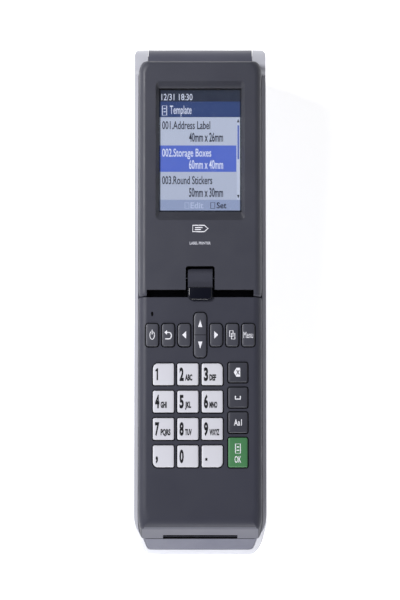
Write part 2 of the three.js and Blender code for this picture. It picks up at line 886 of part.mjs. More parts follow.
// ---------------------------------------------------------------- cover
/** Form of the cover, drawn in by "inset" and running down to "floor". */
function coverForm(inset, floor) {
  const r = COVER.edgeRadius;
  const flat = COVER.halfWidth - r;
  const levels = [
    // height above the deck, half width, front edge
    [floor + inset, COVER.halfWidth, COVER.front],
    [-r, COVER.halfWidth, -2],
    [-r * 0.5, flat + r * Math.sin(60 * DEG), -0.9],
    [-r * 0.134, flat + r * Math.sin(30 * DEG), 2],
    [0, flat, 6],
  ];
  const front = [3 - inset * 0.5, 12 - inset];
  const rear = [2, 2];
  return loft(
    levels.map(([n, half, start]) => ({
      z: n - inset,
      points: outline(
        inset - half,
        half - inset,
        start + inset,
        COVER.rear - inset,
        [front, rear, rear, front],
      ),
    })),
  );
}

const [HINGE_S, HINGE_N] = toDeck(HINGE.y, HINGE.z);

/** Pocket on the inside of the skirt that the latch hook rests in, open below. */
function hookPocket(side) {
  const [x0, x1] = side > 0 ? [34, 36.8] : [-36.8, -34];
  return intoDeck(
    box(
      [x0, LATCH.y - 4.5, LATCH.hook - 5],
      [x1, LATCH.y + 4.5, LATCH.hook + 2.4],
    ),
  );
}

function makeCoverShell() {
  const form = coverForm(0, SKIRT_N);
  const hollow = coverForm(WALL, SKIRT_N - 4);
  const behindKeypad = box(
    [-everyX, KEYPAD_END, SHELF_N],
    [everyX, 320, 20],
  );
  const keypadRoom = hollow.intersect(
    box([-everyX, -10, -30], [everyX, KEYPAD_END - 2.2, 10]),
  );
  const shelfRoom = hollow.intersect(
    box([-everyX, TROUGH.rear + 2, -30], [everyX, 300, SHELF_N - 2]),
  );
  const trough = box(
    [-TROUGH.halfWidth, KEYPAD_END, SHELF_N - 3.8],
    [TROUGH.halfWidth, TROUGH.rear, 5],
  );
  const labelSlot = box(
    [-SLOT.halfWidth, -8, SKIRT_N - 2],
    [SLOT.halfWidth, 3, SKIRT_N + SLOT.height],
  );
  const tail = join(
    box(
      [-HINGE.halfLength, COVER.rear - WALL - 1, SHELF_N - 3],
      [HINGE.halfLength, HINGE_S, SHELF_N],
    ),
    rod(
      HINGE.radius,
      -HINGE.halfLength,
      HINGE.halfLength,
      HINGE_S,
      HINGE_N,
      32,
    ),
  );
  const pinBore = rod(HINGE.pinRadius + 0.25, -50, 50, HINGE_S, HINGE_N);
  const arm = join(
    rod(ARM.radius, -ARM.halfWidth, ARM.halfWidth, TILT_PIN.s, TILT_PIN.n, 28),
    profileX(
      [
        [ARM.front, TILT_PIN.n - ARM.radius],
        [TILT_PIN.s, TILT_PIN.n - ARM.radius],
        [TILT_PIN.s, TILT_PIN.n + ARM.radius],
        [149, 0],
        [ARM.front, 0],
      ],
      -ARM.halfWidth,
      ARM.halfWidth,
    ),
  );
  const tiltBore = rod(TILT_PIN.radius + 0.2, -20, 20, TILT_PIN.s, TILT_PIN.n);
  const headEars = [-1, 1].map((side) =>
    cut(
      box([side * 26.4 - 1.2, 17.5, -13.6], [side * 26.4 + 1.2, 24.5, -2]),
      rod(HEAD.trunnion + 0.15, -40, 40, HEAD.s, HEAD.n, 16),
    ),
  );
  const lightHole = new THREE.CylinderGeometry(0.75, 0.75, 10, 16);
  lightHole.rotateX(Math.PI / 2);
  lightHole.scale(1, 2, 1);
  lightHole.translate(-NAV_ROW.pitch * 3, 131.5, 0);

  const walls = cut(form, behindKeypad, keypadRoom, shelfRoom, trough);
  return cut(
    join(walls, tail, arm, ...headEars),
    hookPocket(1),
    hookPocket(-1),
    labelSlot,
    pinBore,
    tiltBore,
    solid(lightHole),
    ...KEYS.map(keyHole),
  );
}

/** Glossy cap over the arm that carries the display. */
function makeKnuckleCap() {
  const { halfWidth, front, rear, top } = KNUCKLE_CAP;
  const plan = (grow) =>
    outline(
      -halfWidth - grow,
      halfWidth + grow,
      front - grow,
      rear + grow,
      sameCorners(1.4 + grow),
      3,
    );
  return loft([
    { points: plan(0), z: 0.1 },
    { points: plan(0), z: top - 0.8 },
    { points: plan(-0.8), z: top },
  ]);
}

/** Flat floor that closes the underside of the cover. */
const makeCoverTray = () =>
  slab(-30, 30, 27, 277.5, SKIRT_N - 1.6, SKIRT_N - 0.2, 3);

const makeKeypadBoard = () =>
  join(
    slab(-34, 34, 31, 139.5, -10.6, -9.1, 2),
    box([-16, 60, -12.4], [-4, 72, -10.5]),
    box([4, 108, -12.8], [16, 116, -10.5]),
  );

/** Thermal head: a heat sink with two rear trunnions and its heating strip. */
function makePrintHead() {
  const sink = box([-24, 3.2, -14], [24, 22, -11.4]);
  const fins = [5, 10, 15].map((s) =>
    box([-24, s, -11.5], [24, s + 1.8, -8.6]),
  );
  const strip = box([-23, 5, -14.9], [23, 12, -13.9]);
  return join(sink, ...fins, strip, rod(HEAD.trunnion, -27.4, 27.4, HEAD.s, HEAD.n, 16));
}

// ---------------------------------------------------------------- display
function makeDisplayHousing() {
  const { halfWidth, front, rear, top, bottom } = DISPLAY;
  const cornersAt = (rx, ry) => [
    [1.5, 1.5],
    [rx, ry],
    [rx, ry],
    [1.5, 1.5],
  ];
  const ring = (z, side, frontIn, rearIn, rx, ry) => ({
    z,
    points: outline(
      side - halfWidth,
      halfWidth - side,
      front + frontIn,
      rear - rearIn,
      cornersAt(rx, ry),
      5,
    ),
  });
  const form = loft([
    ring(bottom, 0, 13.4, 0.6, 4.6, 7.4),
    ring(-4.6, 0, 4.7, 0, 4.6, 7.4),
    ring(-3, 0.3, 0, 0.2, 4.6, 7.4),
    ring(-0.7, 1.5, 0.3, 0.8, 4.5, 7.2),
    ring(0.5, 3, 0.7, 1.8, 4.3, 6.8),
    ring(top, 4.6, 1.3, 3, 4, 6.4),
  ]);
  const room = slab(
    WALL - halfWidth,
    halfWidth - WALL,
    DISPLAY.room,
    rear - WALL,
    bottom - 1,
    -3.6,
    3,
  );
  const bezel = loft([
    {
      z: WINDOW.n,
      points: outline(
        -WINDOW.halfWidth,
        WINDOW.halfWidth,
        WINDOW.front,
        WINDOW.rear,
        sameCorners(0.6),
      ),
    },
    {
      z: top + 0.02,
      points: outline(
        -BEZEL.halfWidth,
        BEZEL.halfWidth,
        BEZEL.front,
        BEZEL.rear,
        sameCorners(2.5, 3.7),
      ),
    },
  ]);
  const window = box(
    [-WINDOW.halfWidth, WINDOW.front, -6],
    [WINDOW.halfWidth, WINDOW.rear, WINDOW.n + 0.5],
  );
  const recess = box(
    [-DISPLAY.recess.halfWidth, front - 5, -20],
    [DISPLAY.recess.halfWidth, DISPLAY.recess.rear, 20],
  );
  const notch = slab(
    -NOTCH.halfWidth,
    NOTCH.halfWidth,
    front - 5,
    NOTCH.rear,
    -20,
    20,
    NOTCH.radius,
  );
  const ears = box(
    [-EARS.halfWidth, EARS.front, DISPLAY.bottom],
    [EARS.halfWidth, EARS.rear, 0],
  ).intersect(form);
  const pinBore = rod(
    TILT_PIN.radius + 0.1,
    -EARS.halfWidth - 0.2,
    EARS.halfWidth + 0.2,
    TILT_PIN.s,
    TILT_PIN.n,
  );
  return cut(
    join(cut(form, room), ears),
    bezel,
    window,
    recess,
    notch,
    pinBore,
  );
}

const makeDisplayLens = () =>
  box(
    [-WINDOW.halfWidth + 0.2, WINDOW.front + 0.2, -3],
    [WINDOW.halfWidth - 0.2, WINDOW.rear - 0.2, -1.7],
  );

const makeDisplayModule = () => slab(-29, 29, 188, 281, -7.6, -3.7, 1);

const makeDisplayBack = () =>
  slab(
    -DISPLAY.halfWidth + WALL + GAP,
    DISPLAY.halfWidth - WALL - GAP,
    165,
    DISPLAY.rear - WALL - GAP,
    DISPLAY.bottom,
    DISPLAY.bottom + 1.5,
    3,
  );

const makeTiltPin = () =>
  rod(
    TILT_PIN.radius,
    -TILT_PIN.halfLength,
    TILT_PIN.halfLength,
    TILT_PIN.s,
    TILT_PIN.n,
  );

// ---------------------------------------------------------------- assembly
addPiece(printer, "base_shell", makeTub(), MATERIALS.tub);
addPiece(printer, "front_trim", makeFrontTrim(), MATERIALS.charcoal);
addPiece(printer, "tear_bar", makeTearBar(), MATERIALS.steel);
addPiece(
  printer,
  "cover_hinge_pin",
  rod(HINGE.pinRadius, -37.7, 37.7, HINGE.y, HINGE.z),
  MATERIALS.steel,
);
const FOOT_NAMES = ["front_left", "front_right", "rear_left", "rear_right"];
footPlaces.forEach(([x, y], i) =>
  addPiece(
    printer,
    `foot_${FOOT_NAMES[i]}`,
    footBlock(x, y, 0, FOOT.height),
    MATERIALS.rubber,
  ),
);

addPiece(printer, "print_frame", makeFrame(), MATERIALS.steel);
addPiece(printer, "platen_roller", makePlatenRoller(), MATERIALS.rubber);
addPiece(printer, "platen_shaft", makePlatenShaft(), MATERIALS.steel);
addPiece(printer, "platen_gear", makePlatenGear(), MATERIALS.nylon);
addPiece(
  printer,
  "idler_gear",
  spurGear(IDLER_TEETH, idlerPhase, idlerCentre.y, idlerCentre.z, GEAR.bore),
  MATERIALS.nylon,
);
addPiece(printer, "motor_pinion", makePinion(), MATERIALS.steel);
addPiece(printer, "stepper_motor", makeMotor(), MATERIALS.steel);
addPiece(printer, "paper_guide", makePaperGuide(), MATERIALS.charcoal);

addPiece(printer, "label_roll", makeLabelRoll(), MATERIALS.paper);
addPiece(printer, "roll_guide_left", makeRollGuide(-1), MATERIALS.nylon);
addPiece(printer, "roll_guide_right", makeRollGuide(1), MATERIALS.nylon);
addPiece(printer, "battery_pack", makeBattery(), MATERIALS.cell);
addPiece(printer, "battery_door", makeBatteryDoor(), MATERIALS.tub);
addPiece(printer, "main_board", makeMainBoard(), MATERIALS.board);
addPiece(printer, "power_inlet", makeInlet(), MATERIALS.glossBlack);
addPiece(printer, "data_port", makeDataPort(), MATERIALS.steel);
addPiece(printer, "release_latch_left", makeLatch(-1), MATERIALS.charcoal);
addPiece(printer, "release_latch_right", makeLatch(1), MATERIALS.charcoal);

addPiece(deck, "cover_shell", makeCoverShell(), MATERIALS.charcoal);
addPiece(deck, "cover_tray", makeCoverTray(), MATERIALS.charcoal);
addPiece(deck, "keypad_board", makeKeypadBoard(), MATERIALS.board);
addPiece(deck, "knuckle_cap", makeKnuckleCap(), MATERIALS.glossBlack);
addPiece(deck, "print_head", makePrintHead(), MATERIALS.ceramic);
for (const key of KEYS) {
  const cap = addPiece(deck, key.name, makeKey(key), key.material);
  cap.position.set(key.x, key.s, 0);
}

addPiece(deck, "display_housing", makeDisplayHousing(), MATERIALS.charcoal);
addPiece(deck, "display_back", makeDisplayBack(), MATERIALS.charcoal);
addPiece(deck, "display_lens", makeDisplayLens(), MATERIALS.lens);
addPiece(deck, "display_module", makeDisplayModule(), MATERIALS.screen);
addPiece(deck, "display_tilt_pin", makeTiltPin(), MATERIALS.steel);

export default printer;
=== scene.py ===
"""Looks for the slim label printer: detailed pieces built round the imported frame.

Lengths below are millimetres until a mesh is made. "Deck" pieces are drawn in the
cover's own plane: x across, s along the deck from its front edge, n above it.
"""
import contextlib
import math

import bmesh
import bpy
from mathutils import Matrix, Vector


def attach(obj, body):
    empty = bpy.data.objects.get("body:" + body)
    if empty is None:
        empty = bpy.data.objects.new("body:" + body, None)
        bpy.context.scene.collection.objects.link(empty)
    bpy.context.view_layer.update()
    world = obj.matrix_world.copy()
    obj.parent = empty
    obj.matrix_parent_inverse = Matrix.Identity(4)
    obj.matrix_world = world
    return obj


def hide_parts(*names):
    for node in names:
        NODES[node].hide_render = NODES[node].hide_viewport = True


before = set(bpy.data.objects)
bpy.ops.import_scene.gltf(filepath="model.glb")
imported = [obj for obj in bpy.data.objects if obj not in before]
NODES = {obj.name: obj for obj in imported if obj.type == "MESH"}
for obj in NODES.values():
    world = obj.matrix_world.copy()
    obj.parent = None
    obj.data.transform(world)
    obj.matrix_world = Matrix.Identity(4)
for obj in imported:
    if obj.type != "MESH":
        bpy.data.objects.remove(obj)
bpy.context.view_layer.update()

MM = 0.001
DEG = math.pi / 180
TABLE = Matrix.Identity(4)
DECK_FRONT, DECK_HEIGHT, DECK_SLOPE = -148, 50, 5 * DEG
DECK = Matrix.Translation((0, DECK_FRONT, DECK_HEIGHT)) @ Matrix.Rotation(DECK_SLOPE, 4, "X")

# Driving dimensions in millimetres: _Y and _Z from the table, _S and _N from the deck.
WALL = 2.3
PAST_SIDES = 46
TUB_SIDE, TUB_REAR, TUB_BOTTOM, FLOOR_TOP = 40.5, 155.2, 2, 4.6
COVER_SIDE, COVER_NOSE, COVER_REAR, COVER_RADIUS = 37.9, -5.3, 281, 5.5
SKIRT = -15.0
KEYPAD_END = 141.9
HINGE_Y, HINGE_Z, HINGE_R = 145.7, 56.0, 9.5
HINGE_S, HINGE_N = (DECK.inverted() @ Vector((0, HINGE_Y, HINGE_Z)))[1:]
TILT_S, TILT_N, ARM_R = 155.5, -4.4, 5.2
DISPLAY_SIDE, DISPLAY_FRONT, DISPLAY_REAR = 37.8, 142.6, 291.8
WINDOW = (-25.4, 25.4, 195.9, 274.2)
PANEL_TOP = -3.62
ROLL_AXIS = (0.050, 0.0286, 0)  # y and z in metres


# ------------------------------------------------------------------ shapes
def outline(x0, x1, y0, y1, corners, steps=8):
    """Anticlockwise plan with elliptical corners: front right, rear right, rear left, front left."""
    if not isinstance(corners, (list, tuple)):
        corners = [(corners, corners)] * 4
    elif not isinstance(corners[0], (list, tuple)):
        corners = [corners] * 4
    centres = [(x1, y0, 1, -1), (x1, y1, 1, 1), (x0, y1, -1, 1), (x0, y0, -1, -1)]
    points = []
    for k, (x, y, sx, sy) in enumerate(centres):
        rx, ry = corners[k]
        for i in range(steps + 1):
            a = (k - 1 + i / steps) * 90 * DEG
            points.append((x - sx * rx + rx * math.cos(a), y - sy * ry + ry * math.sin(a)))
    return points


def loft(rings):
    """Closed solid through rings of (plan points, height), lowest first."""
    count = len(rings[0][0])
    verts = [(x, y, z) for points, z in rings for x, y in points]
    faces = []
    for r in range(len(rings) - 1):
        for i in range(count):
            a = r * count + i
            b = r * count + (i + 1) % count
            faces.append((a, b, b + count, a + count))
    faces.append(tuple(reversed(range(count))))
    faces.append(tuple(range(len(verts) - count, len(verts))))
    return verts, faces


def prism(points, z0, z1):
    """An upright solid on a plan."""
    return loft([(points, z0), (points, z1)])


def slab(x0, x1, y0, y1, z0, z1, radius=0.5, steps=6):
    """A plate with rounded corners."""
    return prism(outline(x0, x1, y0, y1, radius, steps), z0, z1)


def block(low, high):
    x0, y0, z0 = low
    x1, y1, z1 = high
    return prism([(x0, y0), (x1, y0), (x1, y1), (x0, y1)], z0, z1)


def across(y0, y1, z0, z1):
    """A block that is wider than the printer."""
    return block((-PAST_SIDES, y0, z0), (PAST_SIDES, y1, z1))


def lathe(profile, sides=48):
    """Closed solid turned about Z from (radius, height) points that start and end on the axis."""
    verts, rows = [], []
    for r, z in profile:
        if r < 1e-6:
            rows.append([len(verts)])
            verts.append((0, 0, z))
        else:
            rows.append(list(range(len(verts), len(verts) + sides)))
            verts += [(r * math.cos(2 * math.pi * i / sides), r * math.sin(2 * math.pi * i / sides), z)
                      for i in range(sides)]
    faces = []
    for low, high in zip(rows, rows[1:]):
        for i in range(sides):
            j = (i + 1) % sides
            face = [low[i % len(low)], low[j % len(low)], high[j % len(high)], high[i % len(high)]]
            corners = tuple(dict.fromkeys(face))
            if len(corners) > 2:
                faces.append(corners)
    return verts, faces


def moved(solid, matrix):
    verts, faces = solid
    return [tuple(matrix @ Vector(v)) for v in verts], faces


def along_x(solid):
    """Turns a solid drawn about Z so that its axis lies along +X."""
    return moved(solid, Matrix.Rotation(90 * DEG, 4, "Y"))


def at(solid, x, y, z):
    return moved(solid, Matrix.Translation((x, y, z)))


def rod_x(radius, x0, x1, y, z, sides):
    """A rod from x0 to x1 with its axis at (y, z)."""
    profile = [(0, x0), (radius, x0), (radius, x1), (0, x1)]
    return at(along_x(lathe(profile, sides)), 0, y, z)


def side_profile(points, x0, x1):
    """A side view of (y, z) points swept from x0 to x1."""
    verts = [(x0, y, z) for y, z in points] + [(x1, y, z) for y, z in points]
    n = len(points)
    faces = [(i, (i + 1) % n, n + (i + 1) % n, n + i) for i in range(n)]
    faces += [tuple(reversed(range(n))), tuple(range(n, 2 * n))]
    return verts, faces


def many(solids):
    """Several separate solids as one."""
    verts, faces = [], []
    for v, f in solids:
        k = len(verts)
        verts += v
        faces += [tuple(i + k for i in face) for face in f]
    return verts, faces


# ------------------------------------------------------------------ meshes
def placed(name, data):
    """A new object in the scene."""
    obj = bpy.data.objects.new(name, data)
    bpy.context.scene.collection.objects.link(obj)
    return obj


def mesh_of(name, solid, space):
    """A mesh in metres from a solid in millimetres."""
    verts, faces = solid
    scale = Matrix.Diagonal((MM, MM, MM, 1)) @ space
    mesh = bpy.data.meshes.new(name)
    mesh.from_pydata([scale @ Vector(v) for v in verts], [], faces)
    return mesh


@contextlib.contextmanager
def editing(mesh):
    """Opens a mesh for bmesh work and writes it back."""
    bm = bmesh.new()
    bm.from_mesh(mesh)
    yield bm
    bm.to_mesh(mesh)
    bm.free()


def thing(name, solid, space=TABLE):
    """A solid as an object, with its faces turned outwards."""
    obj = placed(name, mesh_of(name, solid, space))
    with editing(obj.data) as bm:
        bmesh.ops.recalc_face_normals(bm, faces=bm.faces)
    return obj


def settle(obj):
    """Turns the object's modifiers into plain mesh."""
    graph = bpy.context.evaluated_depsgraph_get()
    mesh = bpy.data.meshes.new_from_object(obj.evaluated_get(graph), preserve_all_data_layers=True,
                                           depsgraph=graph)
    obj.modifiers.clear()
    old = obj.data
    obj.data = mesh
    bpy.data.meshes.remove(old)
    return obj


def use_up(obj, tools, how):
    """Applies tool objects to obj by a boolean, and removes them."""
    for i, tool in enumerate(tools):
        mod = obj.modifiers.new(f"step_{i}", "BOOLEAN")
        mod.operation, mod.solver, mod.object = how, "MANIFOLD", tool
    settle(obj)
    for tool in tools:
        mesh = tool.data
        bpy.data.objects.remove(tool)
        bpy.data.meshes.remove(mesh)
    return obj


def combine(obj, solids, how, space):
    return use_up(obj, [thing(f"tool_{i}", solid, space) for i, solid in enumerate(solids)], how)


def cut(obj, *solids, space=TABLE):
    return combine(obj, solids, "DIFFERENCE", space)


def join(obj, *solids, space=TABLE):
    return combine(obj, solids, "UNION", space)


def keep(obj, *solids, space=TABLE):
    return combine(obj, solids, "INTERSECT", space)


def clean(obj, distance):
    """Welds near points and merges the flat faces that booleans leave in strips."""
    with editing(obj.data) as bm:
        bmesh.ops.remove_doubles(bm, verts=bm.verts, dist=distance * MM)
        bmesh.ops.dissolve_limit(bm, angle_limit=0.6 * DEG, verts=bm.verts, edges=bm.edges,
                                 delimit={"MATERIAL"})
        bmesh.ops.recalc_face_normals(bm, faces=bm.faces)


def smooth(obj, angle):
    """Smooth shading, with creases where faces meet at more than angle."""
    for polygon in obj.data.polygons:
        polygon.use_smooth = True
    obj.data.set_sharp_from_angle(angle=angle * DEG)


def even(obj, angle=50):
    """Corner normals led by the largest face, so that flat faces shade flat up to their radii."""
    mesh = obj.data
    smooth(obj, angle)
    near = math.cos(angle * DEG)
    faces_at = [[] for _ in mesh.vertices]
    for polygon in mesh.polygons:
        for v in polygon.vertices:
            faces_at[v].append((polygon.normal.copy(), polygon.area))
    normals = []
    for polygon in mesh.polygons:
        own = polygon.normal.copy()
        for v in polygon.vertices:
            total = Vector((0, 0, 0))
            for normal, area in faces_at[v]:
                if normal.dot(own) > near:
                    total += normal * area
            normals.append(total.normalized() if total.length > 0 else own)
    mesh.normals_split_custom_set(normals)


def polish(obj, width, segments=3, angle=34, weld=0.02):
    """Small moulded radii on every sharp edge, and shading that keeps flats flat."""
    clean(obj, weld)
    mod = obj.modifiers.new("radii", "BEVEL")
    mod.width = width * MM
    mod.segments = segments
    mod.limit_method = "ANGLE"
    mod.angle_limit = angle * DEG
    mod.use_clamp_overlap = True
    mod.miter_outer = "MITER_ARC"
    for polygon in obj.data.polygons:
        polygon.use_smooth = True
    settle(obj)
    even(obj)


def paint(obj, material):
    obj.data.materials.clear()
    obj.data.materials.append(material)


def paint_where(obj, material, test, space=DECK):
    """Gives material to the faces whose centre and normal, in space, pass the test."""
    obj.data.materials.append(material)
    index = len(obj.data.materials) - 1
    back = space.inverted()
    turn = back.to_3x3()
    for polygon in obj.data.polygons:
        if test(back @ (polygon.center / MM), turn @ polygon.normal):
            polygon.material_index = index


def piece(obj, body, stands_for=()):
    """Makes obj ride on a body, in the place of CAD nodes."""
    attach(obj, body)
    if stands_for:
        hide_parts(*stands_for)


# ------------------------------------------------------------------ materials
def srgb(code):
    """Linear colour from a six-digit screen colour."""
    values = [int(code[i:i + 2], 16) / 255 for i in (0, 2, 4)]
    return tuple(v / 12.92 if v <= 0.04045 else ((v + 0.055) / 1.055) ** 2.4 for v in values) + (1,)


class Nodes:
    """A short way to wire up one material."""

    def __init__(self, name):
        self.material = bpy.data.materials.new(name)
        self.material.use_nodes = True
        self.tree = self.material.node_tree
        self.shader = self.tree.nodes["Principled BSDF"]
        self.place = self.add("ShaderNodeTexCoord").outputs["Object"]

    def add(self, kind, **values):
        node = self.tree.nodes.new(kind)
        for key, value in values.items():
            setattr(node, key, value)
        return node

    def fix(self, values, node=None):
        """Sets sockets by name, on the shader unless a node is given."""
        for key, value in values.items():
            (node or self.shader).inputs[key].default_value = value

    def feed(self, out, socket):
        self.link(out, self.shader.inputs[socket])

    def link(self, out, to):
        self.tree.links.new(out, to)

    def noise(self, scale, detail=3.0, stretch=None, roughness=0.5):
        node = self.add("ShaderNodeTexNoise")
        self.fix({"Scale": scale, "Detail": detail, "Roughness": roughness}, node)
        source = self.place
        if stretch:
            mapping = self.add("ShaderNodeMapping")
            mapping.inputs["Scale"].default_value = stretch
            self.link(source, mapping.inputs["Vector"])
            source = mapping.outputs["Vector"]
        self.link(source, node.inputs["Vector"])
        return node.outputs["Fac"]

    def span(self, value, low, high, start=0.0, end=1.0):
        node = self.add("ShaderNodeMapRange")
        self.link(value, node.inputs["Value"])
        self.fix({"From Min": start, "From Max": end, "To Min": low, "To Max": high}, node)
        return node.outputs["Result"]

    def mix(self, factor, first, second):
        node = self.add("ShaderNodeMix", data_type="RGBA")
        for socket, value in ((0, factor), (6, first), (7, second)):
            if isinstance(value, (tuple, float, int)):
                node.inputs[socket].default_value = value
            else:
                self.link(value, node.inputs[socket])
        return node.outputs[2]

    def bump(self, height, distance, strength=1.0, under=None):
        node = self.add("ShaderNodeBump")
        self.fix({"Distance": distance * MM, "Strength": strength}, node)
        self.link(height, node.inputs["Height"])
        if under:
            self.link(under, node.inputs["Normal"])
        return node.outputs["Normal"]

    def edges(self):
        """One on corners and moulded radii, zero on faces."""
        geometry = self.add("ShaderNodeNewGeometry")
        soft = self.add("ShaderNodeBevel")
        soft.samples = 4
        soft.inputs["Radius"].default_value = 0.35 * MM
        match = self.add("ShaderNodeVectorMath", operation="DOT_PRODUCT")
        self.link(geometry.outputs["Normal"], match.inputs[0])
        self.link(soft.outputs[0], match.inputs[1])
        return self.span(match.outputs["Value"], 1.0, 0.0, 0.80, 0.995)


def shade(color, factor):
    """The colour made lighter or darker."""
    return tuple(min(1.0, c * factor) for c in color[:3]) + (1,)


def plastic(name, code, rough=0.5, grain=0.012, scale=2600, wear=0.35, patch=0.06, coat=0.0,
            specular=0.5):
    """Moulded plastic: spark-eroded grain, faint flow patches, handled edges."""
    n = Nodes(name)
    base = srgb(code)
    flow = n.noise(22, 4)
    speck = n.noise(scale * 1.6, 2)
    tint = n.mix(n.span(flow, 0, 1, 0.3, 0.7), shade(base, 1 - patch), shade(base, 1 + patch))
    tint = n.mix(n.span(speck, 0.0, 0.25, 0.35, 0.75), tint, shade(base, 1 - 1.5 * patch))
    n.feed(n.mix(n.edges(), tint, shade(base, 1 + wear)), "Base Color")
    smudge = n.noise(60, 5, roughness=0.65)
    n.feed(n.span(smudge, rough - 0.06, rough + 0.08, 0.3, 0.7), "Roughness")
    fine = n.bump(n.noise(scale, 2), grain, 0.55)
    n.feed(n.bump(n.noise(35, 2), 0.03, 0.25, under=fine), "Normal")
    n.fix({"Specular IOR Level": specular, "Coat Weight": coat, "Coat Roughness": 0.12})
    return n.material


def metal(name, code, rough, stretch=(1, 30, 30)):
    """Turned or brushed metal with fine directional lines."""
    n = Nodes(name)
    base = srgb(code)
    lines = n.noise(900, 3, stretch)
    n.feed(n.mix(n.span(lines, 0, 1, 0.3, 0.7), shade(base, 0.86), shade(base, 1.08)), "Base Color")
    n.feed(n.span(lines, rough - 0.08, rough + 0.14, 0.3, 0.7), "Roughness")
    n.feed(n.bump(lines, 0.004, 0.5), "Normal")
    n.fix({"Metallic": 1.0})
    return n.material


def glow(name, code, tooth=0.06):
    """Lit part of the display, with the faint grid of its pixels."""
    n = Nodes(name)
    base = srgb(code)
    grid = n.noise(5200, 1)
    soft = n.mix(n.span(grid, 0, 1, 0.3, 0.7), shade(base, 1 - tooth), shade(base, 1 + tooth))
    n.feed(soft, "Emission Color")
    n.fix({"Base Color": (0.01, 0.01, 0.012, 1), "Emission Strength": 1.0, "Roughness": 0.35})
    return n.material


def ink(name, code, rough=0.5):
    """Pad-printed ink, slightly uneven."""
    n = Nodes(name)
    base = srgb(code)
    patch = n.noise(1500, 3)
    n.feed(n.mix(n.span(patch, 0, 1, 0.35, 0.65), shade(base, 0.9), shade(base, 1.06)), "Base Color")
    n.feed(n.span(patch, rough - 0.05, rough + 0.1), "Roughness")
    n.feed(n.bump(patch, 0.004, 0.4), "Normal")
    n.fix({"Specular IOR Level": 0.25})
    return n.material


def rubber(name, code):
    """Matt rubber with dust in its grain."""
    n = Nodes(name)
    base = srgb(code)
    dust = n.noise(180, 6, roughness=0.7)
    n.feed(n.mix(n.span(dust, 0, 0.6, 0.45, 0.8), base, shade(base, 2.2)), "Base Color")
    n.feed(n.span(dust, 0.72, 0.95), "Roughness")
    n.feed(n.bump(n.noise(1800, 3), 0.02, 0.7), "Normal")
    n.fix({"Specular IOR Level": 0.3})
    return n.material


def board(name):
    """Solder-masked circuit board with copper tracks showing through."""
    n = Nodes(name)
    base = srgb("1b5136")
    cells = n.add("ShaderNodeTexBrick")
    n.link(n.place, cells.inputs["Vector"])
    n.fix({"Scale": 220, "Mortar Size": 0.03, "Color1": base, "Color2": shade(base, 0.82),
           "Mortar": srgb("3a7a50")}, cells)
    n.feed(cells.outputs["Color"], "Base Color")
    n.feed(n.bump(cells.outputs["Fac"], 0.02, 0.6), "Normal")
    n.fix({"Roughness": 0.32})
    return n.material


def paper(name):
    """Edge-on paper wound in fine rings about the roll's axle."""
    n = Nodes(name)
    split = n.add("ShaderNodeSeparateXYZ")
    n.link(n.place, split.inputs[0])
    plane = n.add("ShaderNodeCombineXYZ")
    n.link(split.outputs["Y"], plane.inputs["X"])
    n.link(split.outputs["Z"], plane.inputs["Y"])
    centre = n.add("ShaderNodeVectorMath", operation="SUBTRACT")
    centre.inputs[1].default_value = ROLL_AXIS
    n.link(plane.outputs[0], centre.inputs[0])
    reach = n.add("ShaderNodeVectorMath", operation="LENGTH")
    n.link(centre.outputs[0], reach.inputs[0])
    turns = n.add("ShaderNodeMath", operation="SINE")
    scaled = n.add("ShaderNodeMath", operation="MULTIPLY")
    scaled.inputs[1].default_value = 11000
    n.link(reach.outputs["Value"], scaled.inputs[0])
    n.link(scaled.outputs[0], turns.inputs[0])
    rings = n.span(turns.outputs[0], 0, 1, -1, 1)
    n.feed(n.mix(rings, srgb("f4f2ea"), srgb("d9d5c8")), "Base Color")
    n.feed(n.bump(n.noise(900, 4), 0.02, 0.5), "Normal")
    n.feed(n.span(n.noise(300, 3), 0.7, 0.92), "Roughness")
    return n.material


def window(name):
    """Clear hard-coated pane with faint handling marks."""
    n = Nodes(name)
    n.fix({"Base Color": (0.93, 0.95, 0.97, 1), "Transmission Weight": 1.0, "IOR": 1.46})
    marks = n.noise(90, 6, roughness=0.7)
    n.feed(n.span(marks, 0.02, 0.09, 0.45, 0.8), "Roughness")
    return n.material


